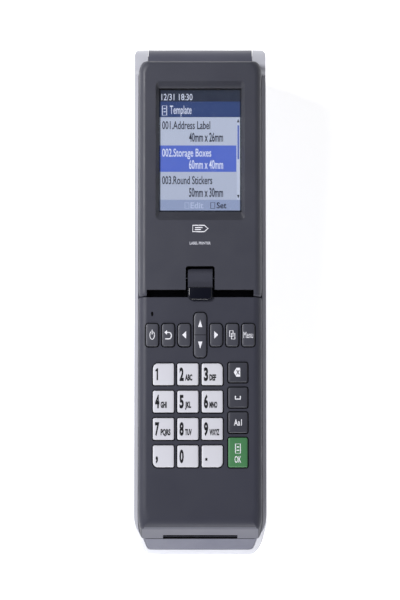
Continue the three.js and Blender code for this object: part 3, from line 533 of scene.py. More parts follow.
M = {
    "cover": plastic("charcoal_moulding", "3c3d47", 0.44, 0.02, 2400, 0.30, 0.05, specular=0.3),
    "deck": plastic("keypad_moulding", "383944", 0.46, 0.02, 2400, 0.30, 0.05, specular=0.25),
    # Glossier, darker copy of the housing plastic for the window's sloped bezel: the gloss is its finish, the
    # darker colour is painted shade in the recess.
    "bezel": plastic("bezel_gloss_and_painted_shade", "32333c", 0.33, 0.006, 2400, 0.10, 0.04, specular=0.55),
    # Lighter copy of the deck plastic: painted highlight on the lit nose front and rear barrel.
    "lip": plastic("lip_moulding", "50515e", 0.36, 0.02, 2400, 0.25, 0.05),
    "trim": plastic("trim_moulding", "535566", 0.42, 0.02, 2400, 0.25, 0.05),
    "tub": plastic("pale_moulding", "babbc4", 0.38, 0.012, 2000, 0.05, 0.02),
    "gloss": plastic("polished_block", "0c0e19", 0.16, 0.002, 900, 0.5, 0.08, coat=0.2, specular=0.3),
    "white_key": plastic("white_key_cap", "c9c9d2", 0.42, 0.008, 3000, 0.05, 0.02),
    "dark_key": plastic("dark_key_cap", "3e3f49", 0.42, 0.010, 3000, 0.35, 0.04),
    "side_key": plastic("side_key_cap", "353640", 0.42, 0.010, 3000, 0.35, 0.04),
    "green_key": plastic("green_key_cap", "41774c", 0.40, 0.010, 3000, 0.30, 0.04),
    # Near-black: painted shade in key gaps, hole walls, slots, seams and the cover's underside; also the
    # status light's black bead.
    "black_and_shade": plastic("black_and_painted_shade", "0a0a0d", 0.7, 0.03, 1600, 0.1, 0.05, specular=0.1),
    "white_ink": ink("white_ink", "e6e6ee"),
    "grey_ink": ink("grey_ink", "0e0f15"),
    "pale_ink": ink("pale_ink", "b9bac4"),
    "nylon": plastic("natural_nylon", "ded9cb", 0.48, 0.01, 1500, 0.04, 0.04),
    "steel": metal("turned_steel", "b9bcc2", 0.28),
    "blued": metal("blued_steel", "2a2c31", 0.35),
    "sheet": metal("pressed_steel", "9fa3aa", 0.36, (30, 1, 30)),
    "brass": metal("brass", "b08d4c", 0.3),
    "alloy": metal("cast_alloy", "8b8f96", 0.42, (20, 1, 1)),
    "board": board("circuit_board"),
    "cell": plastic("cell_wrap", "27325a", 0.35, 0.01, 700, 0.1, 0.05, coat=0.4),
    "rubber": rubber("moulded_rubber", "191a1c"),
    "platen": rubber("ground_rubber", "232427"),
    "paper": paper("label_stock"),
    "pane": window("window_pane"),
    "socket": plastic("socket_black", "121317", 0.4, 0.01, 1800, 0.4, 0.06),
}

# ------------------------------------------------------------------ keys
SMALL, LARGE, SOFT, ROUND = 1.1, 3.0, 1.6, 2.4
CROWN, PROUD, DRAFT = 0.22, 1.1, 0.15
KEY_FOOT = -7.4


def radii(*values):
    """Corner radii, a little longer along the deck; one value serves for all four."""
    return [(v, v * 1.25) for v in (values if len(values) == 4 else values * 4)]


def number(name, column, row, corners=None):
    """A white key of the number block; keys hold centre, width, length, radii, material and slot."""
    return dict(name=name, x=-7.5 + 14.9 * column, s=42.7 + 17.0 * row, w=13.3, l=13.9,
                r=corners or radii(SMALL), m="white_key", slot="white_key")


def side(name, s, length, material="side_key", slot="dark_key"):
    return dict(name=name, x=23.0, s=s, w=12.2, l=length, r=radii(SMALL), m=material, slot=slot)


def nav(name, place, corners, length=14.5):
    return dict(name=name, x=9.8 * place, s=118.2, w=8.1, l=length, r=corners, m="dark_key",
                slot="dark_key")


KEYS = [
    number("key_1", -1, 3, radii(SMALL, SMALL, LARGE, SMALL)),
    number("key_2", 0, 3),
    number("key_3", 1, 3, radii(SMALL, LARGE, SMALL, SMALL)),
    number("key_4", -1, 2), number("key_5", 0, 2), number("key_6", 1, 2),
    number("key_7", -1, 1), number("key_8", 0, 1), number("key_9", 1, 1),
    number("key_comma", -1, 0, radii(SMALL, SMALL, SMALL, LARGE)),
    number("key_0", 0, 0),
    number("key_point", 1, 0, radii(LARGE, SMALL, SMALL, SMALL)),
    side("key_backspace", 94.85, 12.7), side("key_space", 79.25, 12.9), side("key_shift", 63.65, 13.3),
    side("key_ok", 45.1, 18.8, "green_key", "green_key"),
    nav("key_power", -3, radii(SOFT)),
    nav("key_back", -2, radii(SOFT)),
    nav("key_left", -1, radii(SOFT, SOFT, ROUND, ROUND)),
    nav("key_up_down", 0, radii(ROUND), 28.3),
    nav("key_right", 1, radii(ROUND, ROUND, SOFT, SOFT)),
    nav("key_copy", 2, radii(SOFT)),
    nav("key_menu", 3, radii(SOFT)),
]


def key_plan(key, grow):
    """The key's outline on the deck, grown on all sides."""
    w, l = key["w"] / 2 + grow, key["l"] / 2 + grow
    r = [(max(0.3, a + grow), max(0.3, b + grow)) for a, b in key["r"]]
    return [(x + key["x"], s + key["s"]) for x, s in outline(-w, w, -l, l, r)]


def crown(key, x, s):
    """Height of the key's top at a point of the deck."""
    u = (x - key["x"]) / (key["w"] / 2)
    v = (s - key["s"]) / (key["l"] / 2)
    return PROUD - CROWN * min(1.3, 0.55 * u * u + 0.45 * v * v)


def key_solid(key):
    """Crowned cap with rounded shoulders on a flanged stem, and its foot on the board."""
    rocker = key["name"] == "key_up_down"
    flange = -3.6 if rocker else -2.6
    wide = key_plan(key, 0.45)
    stem = key_plan(key, -0.02)
    verts, faces = loft([(wide, flange - 1.0), (wide, flange), (stem, flange), (stem, -1.0),
                         (key_plan(key, -DRAFT), PROUD - 0.75)])
    faces.pop()
    count = len(stem)
    rows = []
    for inset, drop in ((0.05, 0.47), (0.16, 0.29), (0.34, 0.13), (0.58, 0.03), (0.9, 0.0)):
        rows.append([(x, s, crown(key, x, s) - drop) for x, s in key_plan(key, -inset - DRAFT)])
    for part in (0.8, 0.6, 0.4, 0.2):
        edge = 0.9 + DRAFT
        w, l = key["w"] / 2 - edge, key["l"] / 2 - edge
        r = [(max(0.2, (a - edge) * part), max(0.2, (b - edge) * part)) for a, b in key["r"]]
        plan = [(x + key["x"], s + key["s"])
                for x, s in outline(-w * part, w * part, -l * part, l * part, r)]
        rows.append([(x, s, crown(key, x, s)) for x, s in plan])
    for row in rows:
        k = len(verts)
        verts += row
        for i in range(count):
            j = (i + 1) % count
            faces.append((k - count + i, k - count + j, k + j, k + i))
    k = len(verts)
    verts.append((key["x"], key["s"], crown(key, key["x"], key["s"])))
    for i in range(count):
        faces.append((k - count + i, k - count + (i + 1) % count, k))
    feet = [at(block((-1.6, f - 1.6, KEY_FOOT), (1.6, f + 1.6, flange - 1.02)), key["x"], key["s"], 0)
            for f in ((-8, 8) if rocker else (0,))]
    return many([(verts, faces)] + feet)


def key_hole(key):
    """The key's opening in the deck, wider below the skin for its flange."""
    stem, recess = key_plan(key, 0.47), key_plan(key, 0.75)
    return loft([(recess, -9), (recess, 0.05 - WALL), (stem, 0.05 - WALL), (stem, 3)])


# ------------------------------------------------------------------ lettering
def glyphs(words, bold):
    """Generic lettering one unit in size, as flat (x, s) points and faces on a baseline at 0."""
    curve = bpy.data.curves.new("words", "FONT")
    curve.body = words
    curve.size = 1
    curve.offset = bold
    curve.resolution_u = 3
    holder = placed("words", curve)
    graph = bpy.context.evaluated_depsgraph_get()
    mesh = bpy.data.meshes.new_from_object(holder.evaluated_get(graph))
    points = [(v.co.x, v.co.y) for v in mesh.vertices]
    faces = [tuple(p.vertices) for p in mesh.polygons]
    bpy.data.objects.remove(holder)
    bpy.data.curves.remove(curve)
    bpy.data.meshes.remove(mesh)
    return points, faces


CAP_HEIGHT = max(y for x, y in glyphs("H", 0)[0])


def fitted(words, left, base, width, cap, bold):
    """Lettering stretched to a width and a capital height, from its lower left corner."""
    points, faces = glyphs(words, bold)
    low = min(x for x, y in points)
    across = width / (max(x for x, y in points) - low)
    up = cap / CAP_HEIGHT
    return [(left + (x - low) * across, base + y * up) for x, y in points], faces


def centred(words, x, s, width, cap, bold):
    return fitted(words, x - width / 2, s - cap / 2, width, cap, bold)


def ring_path(points, width, closed=True):
    """A drawn line of the given width through points."""
    n = len(points)
    left, right = [], []
    for i, (x, y) in enumerate(points):
        ax, ay = points[i - 1] if closed or i else points[i]
        bx, by = points[(i + 1) % n] if closed or i < n - 1 else points[i]
        dx, dy = bx - ax, by - ay
        d = math.hypot(dx, dy) or 1
        ox, oy = -dy / d * width / 2, dx / d * width / 2
        left.append((x + ox, y + oy))
        right.append((x - ox, y - oy))
    verts = left + right
    last = n if closed else n - 1
    faces = [(i, (i + 1) % n, n + (i + 1) % n, n + i) for i in range(last)]
    return verts, faces


def arc(x, s, rx, rs, start, end, steps):
    """Points along part of an ellipse, between two angles in degrees."""
    turns = [(start + (end - start) * i / steps) * DEG for i in range(steps + 1)]
    return [(x + rx * math.cos(a), s + rs * math.sin(a)) for a in turns]


def rect(x0, x1, s0, s1):
    return [(x0, s0), (x1, s0), (x1, s1), (x0, s1)], [(0, 1, 2, 3)]


def poly(*points):
    return list(points), [tuple(range(len(points)))]


def mark_piece(name, marks, height, material, body, lift=0.03):
    """Flat marks on the deck, laid just above a surface whose height is height(x, s)."""
    film = many([([(x, s, height(x, s) + lift) for x, s in points], cells) for points, cells in marks])
    obj = placed(name, mesh_of(name, film, DECK))
    up = (DECK.to_3x3() @ Vector((0, 0, 1))).normalized()
    with editing(obj.data) as bm:
        for face in bm.faces:
            face.normal_update()
            if face.normal.dot(up) < 0:
                face.normal_flip()
    paint(obj, material)
    piece(obj, body)


def triangle(x, s, w, h, turn=0):
    """Solid arrowhead: turn 0 points to the rear, 90 to the left."""
    base = [(-w / 2, -h / 2), (w / 2, -h / 2), (0, h / 2)]
    c, k = math.cos(turn * DEG), math.sin(turn * DEG)
    return poly(*[(x + a * c - b * k, s + a * k + b * c) for a, b in base])


LETTERS = {"key_2": ("ABC", 4.4), "key_3": ("DEF", 4.1), "key_4": ("GHI", 3.7), "key_5": ("JKL", 3.7),
           "key_6": ("MNO", 4.8), "key_7": ("PQRS", 6.0), "key_8": ("TUV", 4.1), "key_9": ("WXYZ", 6.0)}


def legend(key):
    """What is printed on each key."""
    x, s, name = key["x"], key["s"], key["name"]
    left, base = x - 5.15, s - 3.8
    if name[4:].isdigit():
        if name == "key_1":
            return [poly(*[(left + a, base + b) for a, b in ((0.9, 0), (1.8, 0), (1.8, 7.4), (1.2, 7.4),
                                                             (0.1, 6.3), (0.1, 5.4), (0.9, 5.7))])]
        marks = [fitted(name[4:], left, base, 2.6, 7.4, 0.045)]
        if name in LETTERS:
            letters, width = LETTERS[name]
            marks.append(fitted(letters, x - 1.75, base, width, 3.4, 0.05))
        return marks
    if name == "key_comma":
        return [fitted(",", x - 4.7, s - 2.2, 1.4, 9.5, 0.03)]
    if name == "key_point":
        return [rect(x - 4.3, x - 3.0, s - 2.8, s - 1.1)]
    if name == "key_power":
        return [ring_path(arc(x, s - 0.2, 1.4, 2.6, 122, 418, 24), 0.42, closed=False),
                rect(x - 0.22, x + 0.22, s + 0.2, s + 3.2)]
    if name == "key_back":
        return [ring_path(arc(x + 0.5, s - 0.5, 1.5, 2.0, -90, 90, 14), 0.62, closed=False),
                rect(x - 1.8, x + 0.55, s - 2.8, s - 2.2), rect(x - 1.0, x + 0.55, s + 1.2, s + 1.8),
                triangle(x - 1.5, s + 1.5, 2.9, 1.6, 90)]
    if name == "key_left":
        return [triangle(x, s, 4.7, 2.4, 90)]
    if name == "key_right":
        return [triangle(x, s, 4.7, 2.4, -90)]
    if name == "key_up_down":
        return [triangle(x, s + 7.1, 2.6, 4.4, 0), triangle(x, s - 6.4, 2.6, 4.4, 180)]
    if name == "key_copy":
        front = [(x - 1.6, s - 1.0), (x + 0.5, s - 1.0), (x + 0.5, s + 2.6), (x - 1.6, s + 2.6)]
        back = [(x - 0.5, s - 2.6), (x + 1.6, s - 2.6), (x + 1.6, s + 1.0), (x - 0.5, s + 1.0)]
        return [ring_path(front, 0.5), ring_path(back, 0.5)]
    if name == "key_menu":
        return [centred("Menu", x, s, 5.8, 3.9, 0)]
    if name == "key_backspace":
        return [poly((x - 2.5, s), (x - 0.9, s - 2.8), (x + 1.45, s - 2.8), (x + 1.45, s + 2.8),
                     (x - 0.9, s + 2.8))]
    if name == "key_space":
        tray = [(x - 1.5, s + 0.9), (x - 1.5, s - 1.1), (x + 1.5, s - 1.1), (x + 1.5, s + 0.9)]
        return [ring_path(tray, 0.75, closed=False)]
    if name == "key_shift":
        return [centred("Aa1", x, s, 4.8, 3.8, 0.012)]
    if name == "key_ok":
        page = [(x - 1.5, s - 0.6), (x + 1.5, s - 0.6), (x + 1.5, s + 5.2), (x - 1.5, s + 5.2)]
        lines = [rect(x - 0.8, x + 0.8, s + low, s + high) for low, high in ((3.0, 3.6), (1.0, 1.6))]
        return [ring_path(page, 0.5), *lines, centred("OK", x, s - 4.4, 4.0, 4.0, 0.008)]
    raise ValueError(name)


def build_keys():
    on_top = {key["name"]: lambda x, s, k=key: crown(k, x, s) for key in KEYS}
    for key in KEYS:
        name, slot = key["name"], key["slot"]
        obj = thing(name + "_cap", key_solid(key), DECK)
        smooth(obj, 48)
        paint(obj, M[key["m"]])
        # Painted shade: the key's sides, up to just under its top rounding, are painted near-black for the
        # gap round the key.
        paint_where(obj, M["black_and_shade"], lambda c, n: c.z < 0.52)
        piece(obj, name, [name])
        colour = "grey_ink" if key["m"] == "white_key" else "white_ink"
        mark_piece(name + "_print", legend(key), on_top[name], M[colour], name)
    rub_out = next(key for key in KEYS if key["name"] == "key_backspace")
    x, s = rub_out["x"], rub_out["s"]
    cross = [ring_path([(x - 0.8, s - 1.4 * k), (x + 0.9, s + 1.4 * k)], 0.45, closed=False)
             for k in (-1, 1)]
    mark_piece("key_backspace_cross", cross, on_top["key_backspace"], M["side_key"],
               "key_backspace", lift=0.06)
    # A thin near-black strip across the rocker, painted shade for the split between its halves.
    split = thing("rocker_split", slab(-3.6, 3.6, 118.05, 118.35, 0.6, 1.12, 0.1, 2), DECK)
    paint(split, M["black_and_shade"])
    piece(split, "key_up_down")


# ------------------------------------------------------------------ cover
def cover_form(inset=0.0, floor=SKIRT):
    """The cover's outer form with rounded sides and nose, drawn in by inset."""
    r, steps = COVER_RADIUS, 8
    levels = [(floor + inset, COVER_SIDE, COVER_NOSE)]
    for i in range(steps + 1):
        t = 90 * DEG * i / steps
        levels.append((-r + r * math.sin(t), COVER_SIDE - r + r * math.cos(t), 6 - 8 * math.cos(t)))
    front = (3 - inset * 0.5, 12 - inset)
    rings = [(outline(inset - half, half - inset, start + inset, COVER_REAR - inset,
                      [front, (2, 2), (2, 2), front], 10), n - inset) for n, half, start in levels]
    return loft(rings)


def build_cover():
    cover = thing("cover_skin", cover_form(), DECK)
    rooms = [keep(thing("room", cover_form(WALL, SKIRT - 4), DECK), limit, space=DECK)
             for limit in (across(-10, KEYPAD_END - 2.2, -30, 10), across(159, 300, -30, -12))]
    use_up(cover, rooms, "DIFFERENCE")
    cut(cover, across(KEYPAD_END, 320, -10, 20), block((-33, KEYPAD_END, -13.8), (33, 157, 5)), space=DECK)
    arm = [(140.0, TILT_N - ARM_R), (TILT_S, TILT_N - ARM_R)]
    arm += arc(TILT_S, TILT_N, ARM_R, ARM_R, -90, 90, 24)[1:]
    arm += [(149.0, 0.0), (140.0, 0.0)]
    tail = block((-32, 277.7, -13), (32, HINGE_S, -10))
    barrel = rod_x(HINGE_R, -32, 32, HINGE_S, HINGE_N, 72)
    join(cover, tail, barrel, side_profile(arm, -7.5, 7.5), space=DECK)
    slot = block((-22.7, -9, -18), (22.7, 3, -11.2))
    bore = rod_x(2.25, -50, 50, HINGE_S, HINGE_N, 32)
    tilt = rod_x(1.7, -20, 20, TILT_S, TILT_N, 24)
    light = slab(-30.15, -28.65, 130.0, 133.0, -8, 4, (0.74, 1.49))
    cut(cover, slot, bore, tilt, light, *[key_hole(key) for key in KEYS], space=DECK)
    polish(cover, 0.16)
    paint(cover, M["deck"])
    # Painted shade: down-facing faces, the nose slot and the key-hole walls are painted near-black.
    paint_where(cover, M["black_and_shade"], lambda c, n: n.z < -0.8 or (c.z < -11 and abs(c.x) < 23 and c.y < 3)
                or (c.z < -0.03 and abs(n.z) < 0.93 and abs(c.x) < 34.4 and 24 < c.y < 157))
    # Painted highlight: the rear barrel and the nose's forward-facing faces take a lighter copy of the deck
    # plastic, for the light that falls on them.
    paint_where(cover, M["lip"], lambda c, n: c.y > 282.5)
    paint_where(cover, M["lip"], lambda c, n: n.y < -0.74 and c.y < 1 and c.z > -14.9 and abs(n.x) < 0.6)
    piece(cover, "cover", ["cover_shell"])

    nub_corners = [(3.0, 2.4), (0.9, 0.9), (0.9, 0.9), (3.0, 2.4)]
    nub = thing("knuckle_block", loft([
        (outline(-7.4 + d, 7.4 - d, 139.9 + d, 148.2 - d, nub_corners), n)
        for d, n in ((0, 0.1), (0, 1.2), (0.12, 1.65), (0.4, 2.0), (0.9, 2.2))]), DECK)
    smooth(nub, 60)
    paint(nub, M["gloss"])
    piece(nub, "cover", ["knuckle_cap"])

    bead = lathe([(0, -3), (0.65, -3), (0.65, -0.5), (0.5, -0.35), (0.25, -0.25), (0, -0.2)], 32)
    led = thing("status_light", at(moved(bead, Matrix.Diagonal((1, 2, 1, 1))), -29.4, 131.5, 0), DECK)
    smooth(led, 50)
    paint(led, M["black_and_shade"])
    piece(led, "cover")


# ------------------------------------------------------------------ display
def build_display():
    corners = [(1.5, 1.5), (4.6, 7.2), (4.6, 7.2), (1.5, 1.5)]

    def ring(n, side, front_in, rear_in):
        return outline(side - DISPLAY_SIDE, DISPLAY_SIDE - side, DISPLAY_FRONT + front_in,
                       DISPLAY_REAR - rear_in, corners, 10), n

    rings = [ring(-9.7, 0, 13.4, 0.6), ring(-7.4, 0, 9.4, 0.3)]
    for i in range(10):
        t = 90 * DEG * i / 9
        n = -4.5 + 5.5 * math.sin(t)
        side = 4.6 * (1 - math.cos(t))
        rings.append(ring(n, side, max(0, -3 - n) * 2.94 + 1.3 * (1 - math.cos(t)) ** 2, 0.65 * side))
    skin = thing("display_skin", loft(rings), DECK)
    cut(skin, slab(-35.5, 35.5, 157.9, DISPLAY_REAR - WALL, -11, -3.6, 3), space=DECK)
    join(skin, block((-11.9, 151.3, -9.7), (11.9, 163.5, 0)), space=DECK)
    bezel = loft([(outline(*WINDOW, 0.6), -1.5), (outline(-27.5, 27.5, 190.1, 278.2, (2.5, 3.7)), 1.02)])
    left, right, low, high = WINDOW
    hole = block((left, low, -6), (right, high, -1.0))
    recess = block((-32.8, 130, -20), (32.8, 146.5, 20))
    notch = slab(-8.9, 8.9, 140, 161.3, -20, 20, (1.5, 1.5))
    bore = rod_x(1.6, -11.8, 11.8, TILT_S, TILT_N, 24)
    cut(skin, bezel, hole, recess, notch, bore, space=DECK)
    polish(skin, 0.2)
    paint(skin, M["cover"])
    # The bezel slopes round the window take the glossier, darker plastic: painted shade in the recess.
    paint_where(skin, M["bezel"], lambda c, n: abs(c.x) < 28 and 189 < c.y < 279 and c.z < 0.97 and n.z > 0.2)
    # Painted shade: faces below the housing's top at its front, in the slot over the deck, are painted
    # near-black.
    paint_where(skin, M["black_and_shade"], lambda c, n: c.z < -1 and abs(c.x) < 32.9 and c.y < 163)
    piece(skin, "display", ["display_housing"])

    pane = thing("window_pane", loft([
        (outline(-25.2, 25.2, 196.1, 274.0, 0.5), -3.0), (outline(-25.2, 25.2, 196.1, 274.0, 0.5), -1.85),
        (outline(-25.05, 25.05, 196.25, 273.85, 0.5), -1.7)]), DECK)
    smooth(pane, 20)
    paint(pane, M["pane"])
    piece(pane, "display", ["display_lens"])


def build_screen():
    """What the display shows: a plain list of label templates, set out on a grid of x and y."""
    x0, x1, s0, s1 = -24.5, 24.5, 197.2, 273.2
    left, right, top, bottom = 159.5, 240.1, 89.0, 210.4

    def to_x(x):
        return x0 + (x - left) / (right - left) * (x1 - x0)

    def to_s(y):
        return s1 - (y - top) / (bottom - top) * (s1 - s0)

    def bar(xa, xb, ya, yb):
        return rect(to_x(xa), to_x(xb), to_s(yb), to_s(ya))

    def frame_of(xa, xb, ya, yb, width):
        return ring_path(bar(xa, xb, ya, yb)[0], width)

    def words(text, xa, xb, y, cap, bold=0.02):
        return fitted(text, to_x(xa), to_s(y), to_x(xb) - to_x(xa), cap, bold)

    def lit(name, marks, code, lift):
        mark_piece("screen_" + name, marks, lambda x, s: PANEL_TOP, glow("lit_" + name, code),
                   "display", lift)

    for name, xa, xb, ya, yb, code, lift in (
            ("header", left, right, top, 100.4, "262d3f", 0.02),
            ("title", left, right, 100.4, 116.2, "304477", 0.02),
            ("row_1", left, 237.0, 116.2, 144.8, "b9c1d6", 0.02),
            ("row_2", left, 236.5, 144.8, 171.5, "566dcb", 0.02),
            ("row_3", left, 237.0, 171.5, 199.6, "b4bcd2", 0.02),
            ("footer", left, right, 199.6, bottom, "93a0c2", 0.02),
            ("track", 236.5, right, 116.2, 199.6, "c3cbe0", 0.02),
            ("thumb", 237.6, 239.2, 124.4, 158.8, "4a62b8", 0.04)):
        lit(name, [bar(xa, xb, ya, yb)], code, lift)
    lit("pale_words", [
        words("12/31 18:30", 160.5, 192, 99.0, 4.0, 0.002),
        words("Template", 169.0, 191.0, 112.8, 5.2, 0.006),
        words("002.Storage Boxes", 161.2, 211, 156.0, 4.9, 0.010),
        words("60mm x 40mm", 188.5, 223, 168.4, 5.4, 0.010),
        frame_of(161.4, 165.8, 104.6, 114.2, 0.5),
        bar(162.6, 164.8, 107, 108), bar(162.6, 164.8, 110.2, 111.2)], "dde3f6", 0.06)
    lit("dark_words", [
        words("001.Address Label", 161.2, 210, 128.2, 4.9, 0.014),
        words("40mm x 26mm", 188.5, 223, 140.8, 5.4),
        words("003.Round Stickers", 161.2, 212, 183.8, 4.9, 0.014),
        words("50mm x 30mm", 188.5, 223, 196.6, 5.4),
        triangle(to_x(238.3), to_s(119.6), 1.5, 2.4, 0), triangle(to_x(238.3), to_s(196.6), 1.5, 2.4, 180),
        frame_of(210.4, 214.6, 202.4, 208.4, 0.4),
        words("Set", 216.4, 226.4, 208.2, 3.6)], "1a2036", 0.06)
    lit("foot_words", [
        words("Edit", 190, 203, 208.2, 3.6),
        frame_of(184.4, 188.4, 202.4, 208.4, 0.35)], "b4bfdb", 0.06)


def build_signs():
    """A plain tag and the kind of machine, printed below the display."""
    tag = [(-4.6, 182.9), (2.6, 182.9), (4.8, 184.9), (2.6, 186.9), (-4.6, 186.9)]
    lines = [rect(-3.2, 1.4, 185.2, 185.8), rect(-3.2, 0.4, 183.9, 184.5)]
    for name, marks, material in (
            ("tag_sign", [ring_path(tag, 0.6), *lines], "white_ink"),
            ("type_words", [centred("LABEL PRINTER", 0, 175.7, 12.9, 1.6, 0.03)], "pale_ink")):
        mark_piece(name, marks, lambda x, s: 1.0, M[material], "display", lift=0.02)


# ------------------------------------------------------------------ tub
def tub_form(inset=0, bottom=TUB_BOTTOM):
    """The tub's outer form, bowed at the nose, drawn in by inset and cut off at bottom."""
    side, rear = TUB_SIDE, TUB_REAR
    levels = [  # height, half width, front, rear
        (2, side - 6, -151.7, 151.2), (2.5, side - 5.0, -152.6, 152.0), (3.5, side - 3.7, -153.7, 153.2),
        (5.5, side - 2.7, -154.4, 154.0), (8, side - 2.1, -154.9, 154.6), (14, side - 1.4, -rear, rear),
        (22, side - 0.7, -154.1, rear), (30, side, -152.7, rear), (36, side, -151.5, rear),
        (70, side, -151.5, rear)]
    kept = [level for level in levels if level[0] >= bottom]
    if kept[0][0] > bottom:
        kept.insert(0, (bottom,) + kept[0][1:])
    at_front, at_rear = (8 - inset, 14 - inset), (5 - inset, 6.5 - inset)
    corners = [at_front, at_rear, at_rear, at_front]
    return loft([(outline(inset - half, half - inset, a + inset, b - inset, corners, 10), z)
                 for z, half, a, b in kept])


def under_deck(n):
    """Everything below height n over the deck."""
    return moved(across(-60, 360, -120, n), DECK)


def trim_block(grow):
    """Room for the nose trim: narrower towards its rounded lower corners."""
    low, narrow, wide, corner, slope = 18 - grow, 31.7 + grow, 34.7 + grow, 3.0, 3.0 / 16
    side = [(narrow - corner + corner * math.sin(a * DEG) + slope * corner * (1 - math.cos(a * DEG)),
             low + corner * (1 - math.cos(a * DEG))) for a in range(0, 91, 15)] + [(wide, 34), (wide, 60)]
    plan = side + [(-x, z) for x, z in reversed(side)]
    verts, faces = prism(plan, -155, grow - 139)
    return [(x, y, z) for x, z, y in verts], faces


FEET = [(x, y) for x in (-29, 29) for y in (-131, 134)]


def build_tub():
    tub = thing("tub_shell", tub_form())
    keep(tub, under_deck(-14))
    cut(tub, tub_form(WALL, FLOOR_TOP))
    corner = thing("corner", across(HINGE_Y, 160, HINGE_Z, 90))
    cut(corner, rod_x(HINGE_R, -PAST_SIDES, PAST_SIDES, HINGE_Y, HINGE_Z, 72))
    use_up(tub, [corner], "DIFFERENCE")
    for x0, x1 in ((32.3, PAST_SIDES), (-PAST_SIDES, -32.3)):
        post = thing("post", rod_x(HINGE_R, x0, x1, HINGE_Y, HINGE_Z, 72))
        join(post, block((x0, HINGE_Y - HINGE_R, 34), (x1, TUB_REAR, HINGE_Z)))
        use_up(tub, [keep(post, tub_form())], "UNION")
    rail = block((-34, 46, 4.1), (34, 54, 7))
    posts = [block((x - 2, y - 2, 4.1), (x + 2, y + 2, 7.9)) for x in (-28, 28) for y in (78, 140)]
    ribs = [block((k * 31.8 - 0.9, -94, 4.1), (k * 31.8 + 0.9, -20, 9)) for k in (-1, 1)]
    join(tub, rail, block((-33, -97, 4.1), (33, -4, 5.8)), *posts, *ribs)
    cover_room = moved(cover_form(-0.25, -15.3), DECK)
    cut(tub, block((-32.3, HINGE_Y - 14, 45.5), (32.3, 159, 90)),
        rod_x(2.15, -38, PAST_SIDES, HINGE_Y, HINGE_Z, 32), trim_block(0.3), cover_room,
        block((-31.4, -96.4, 2.7), (31.4, -5.4, 4.5)), block((-29.8, -96.4, 0), (29.8, -5.4, 3)),
        block((-29.5, -94.5, 0), (29.5, -19.5, 10)),
        *[at(slab(-6.25, 6.25, -6.25, 6.25, 0, 2.7, 3.2), x, y, 0) for x, y in FEET],
        block((-24.3, 140, 9.6), (-9.7, 160, 21.2)), slab(2.5, 13.5, 148, 160, 10, 16.5, 0.3),
        across(-92.35, -79.65, 19.65, 30.35))
    polish(tub, 0.4)
    paint(tub, M["tub"])
    piece(tub, "base", ["base_shell"])

    trim = thing("nose_trim", tub_form())
    keep(trim, under_deck(SKIRT - 0.4))
    cut(trim, tub_form(WALL, FLOOR_TOP), moved(across(-60, -4.1, -16, 5), DECK))
    keep(trim, trim_block(0))
    polish(trim, 0.3)
    paint(trim, M["trim"])
    # Painted shadow: the trim's upward-facing top under the cover's lip is painted near-black as a shadow
    # line.
    paint_where(trim, M["black_and_shade"], lambda c, n: n.z > 0.6 and c.z > 31, TABLE)
    piece(trim, "base", ["front_trim"])

    foot = loft([(outline(-half, half, -half, half, radius), z)
                 for half, radius, z in ((5.2, 2.4, 0), (5.8, 3, 0.4), (6, 3, 1.0), (6, 3, 2.5))])
    feet = thing("rubber_feet", many([at(foot, x, y, 0) for x, y in FEET]))
    smooth(feet, 30)
    paint(feet, M["rubber"])
    piece(feet, "base",
          [f"foot_{end}_{side}" for end in ("front", "rear") for side in ("left", "right")])


# ------------------------------------------------------------------ carried-over parts
def refine(node, body, material, width):
    """The CAD node's own shape with moulded or machined radii on its edges."""
    obj = placed(node + "_part", NODES[node].data.copy())
    polish(obj, width, 2, 32, 0.005)
    paint(obj, material)
    piece(obj, body, [node])


def build_tray():
    """The underside of the cover: sunk panels, and screws in their wells."""
    screws = [(x, s) for x in (-25, 25) for s in (33, 110, 190, 271)]
    tray = thing("tray_panel", slab(-30, 30, 27, 277.5, -16.6, -15.2, 3, 8), DECK)
    cut(tray, *[slab(-20, 20, s, s + 70, -17.5, -16.2, 3) for s in (36, 115, 194)],
        *[at(lathe([(0, -17.5), (3.1, -17.5), (3.1, -15.7), (0, -15.7)], 40), x, s, 0) for x, s in screws],
        space=DECK)
    polish(tray, 0.15, 2, 32)
    paint(tray, M["cover"])
    piece(tray, "cover", ["cover_tray"])

    head = lathe([(0, -16.4), (1.7, -16.4), (2.4, -16.15), (2.4, -15.72), (0, -15.72)], 40)
    heads = thing("tray_screws", many([at(head, x, s, 0) for x, s in screws]), DECK)
    cut(heads, *[block((x - a, s - b, -17), (x + a, s + b, -16.05))
                 for x, s in screws for a, b in ((1.5, 0.28), (0.28, 1.5))], space=DECK)
    smooth(heads, 30)
    paint(heads, M["steel"])
    piece(heads, "cover")


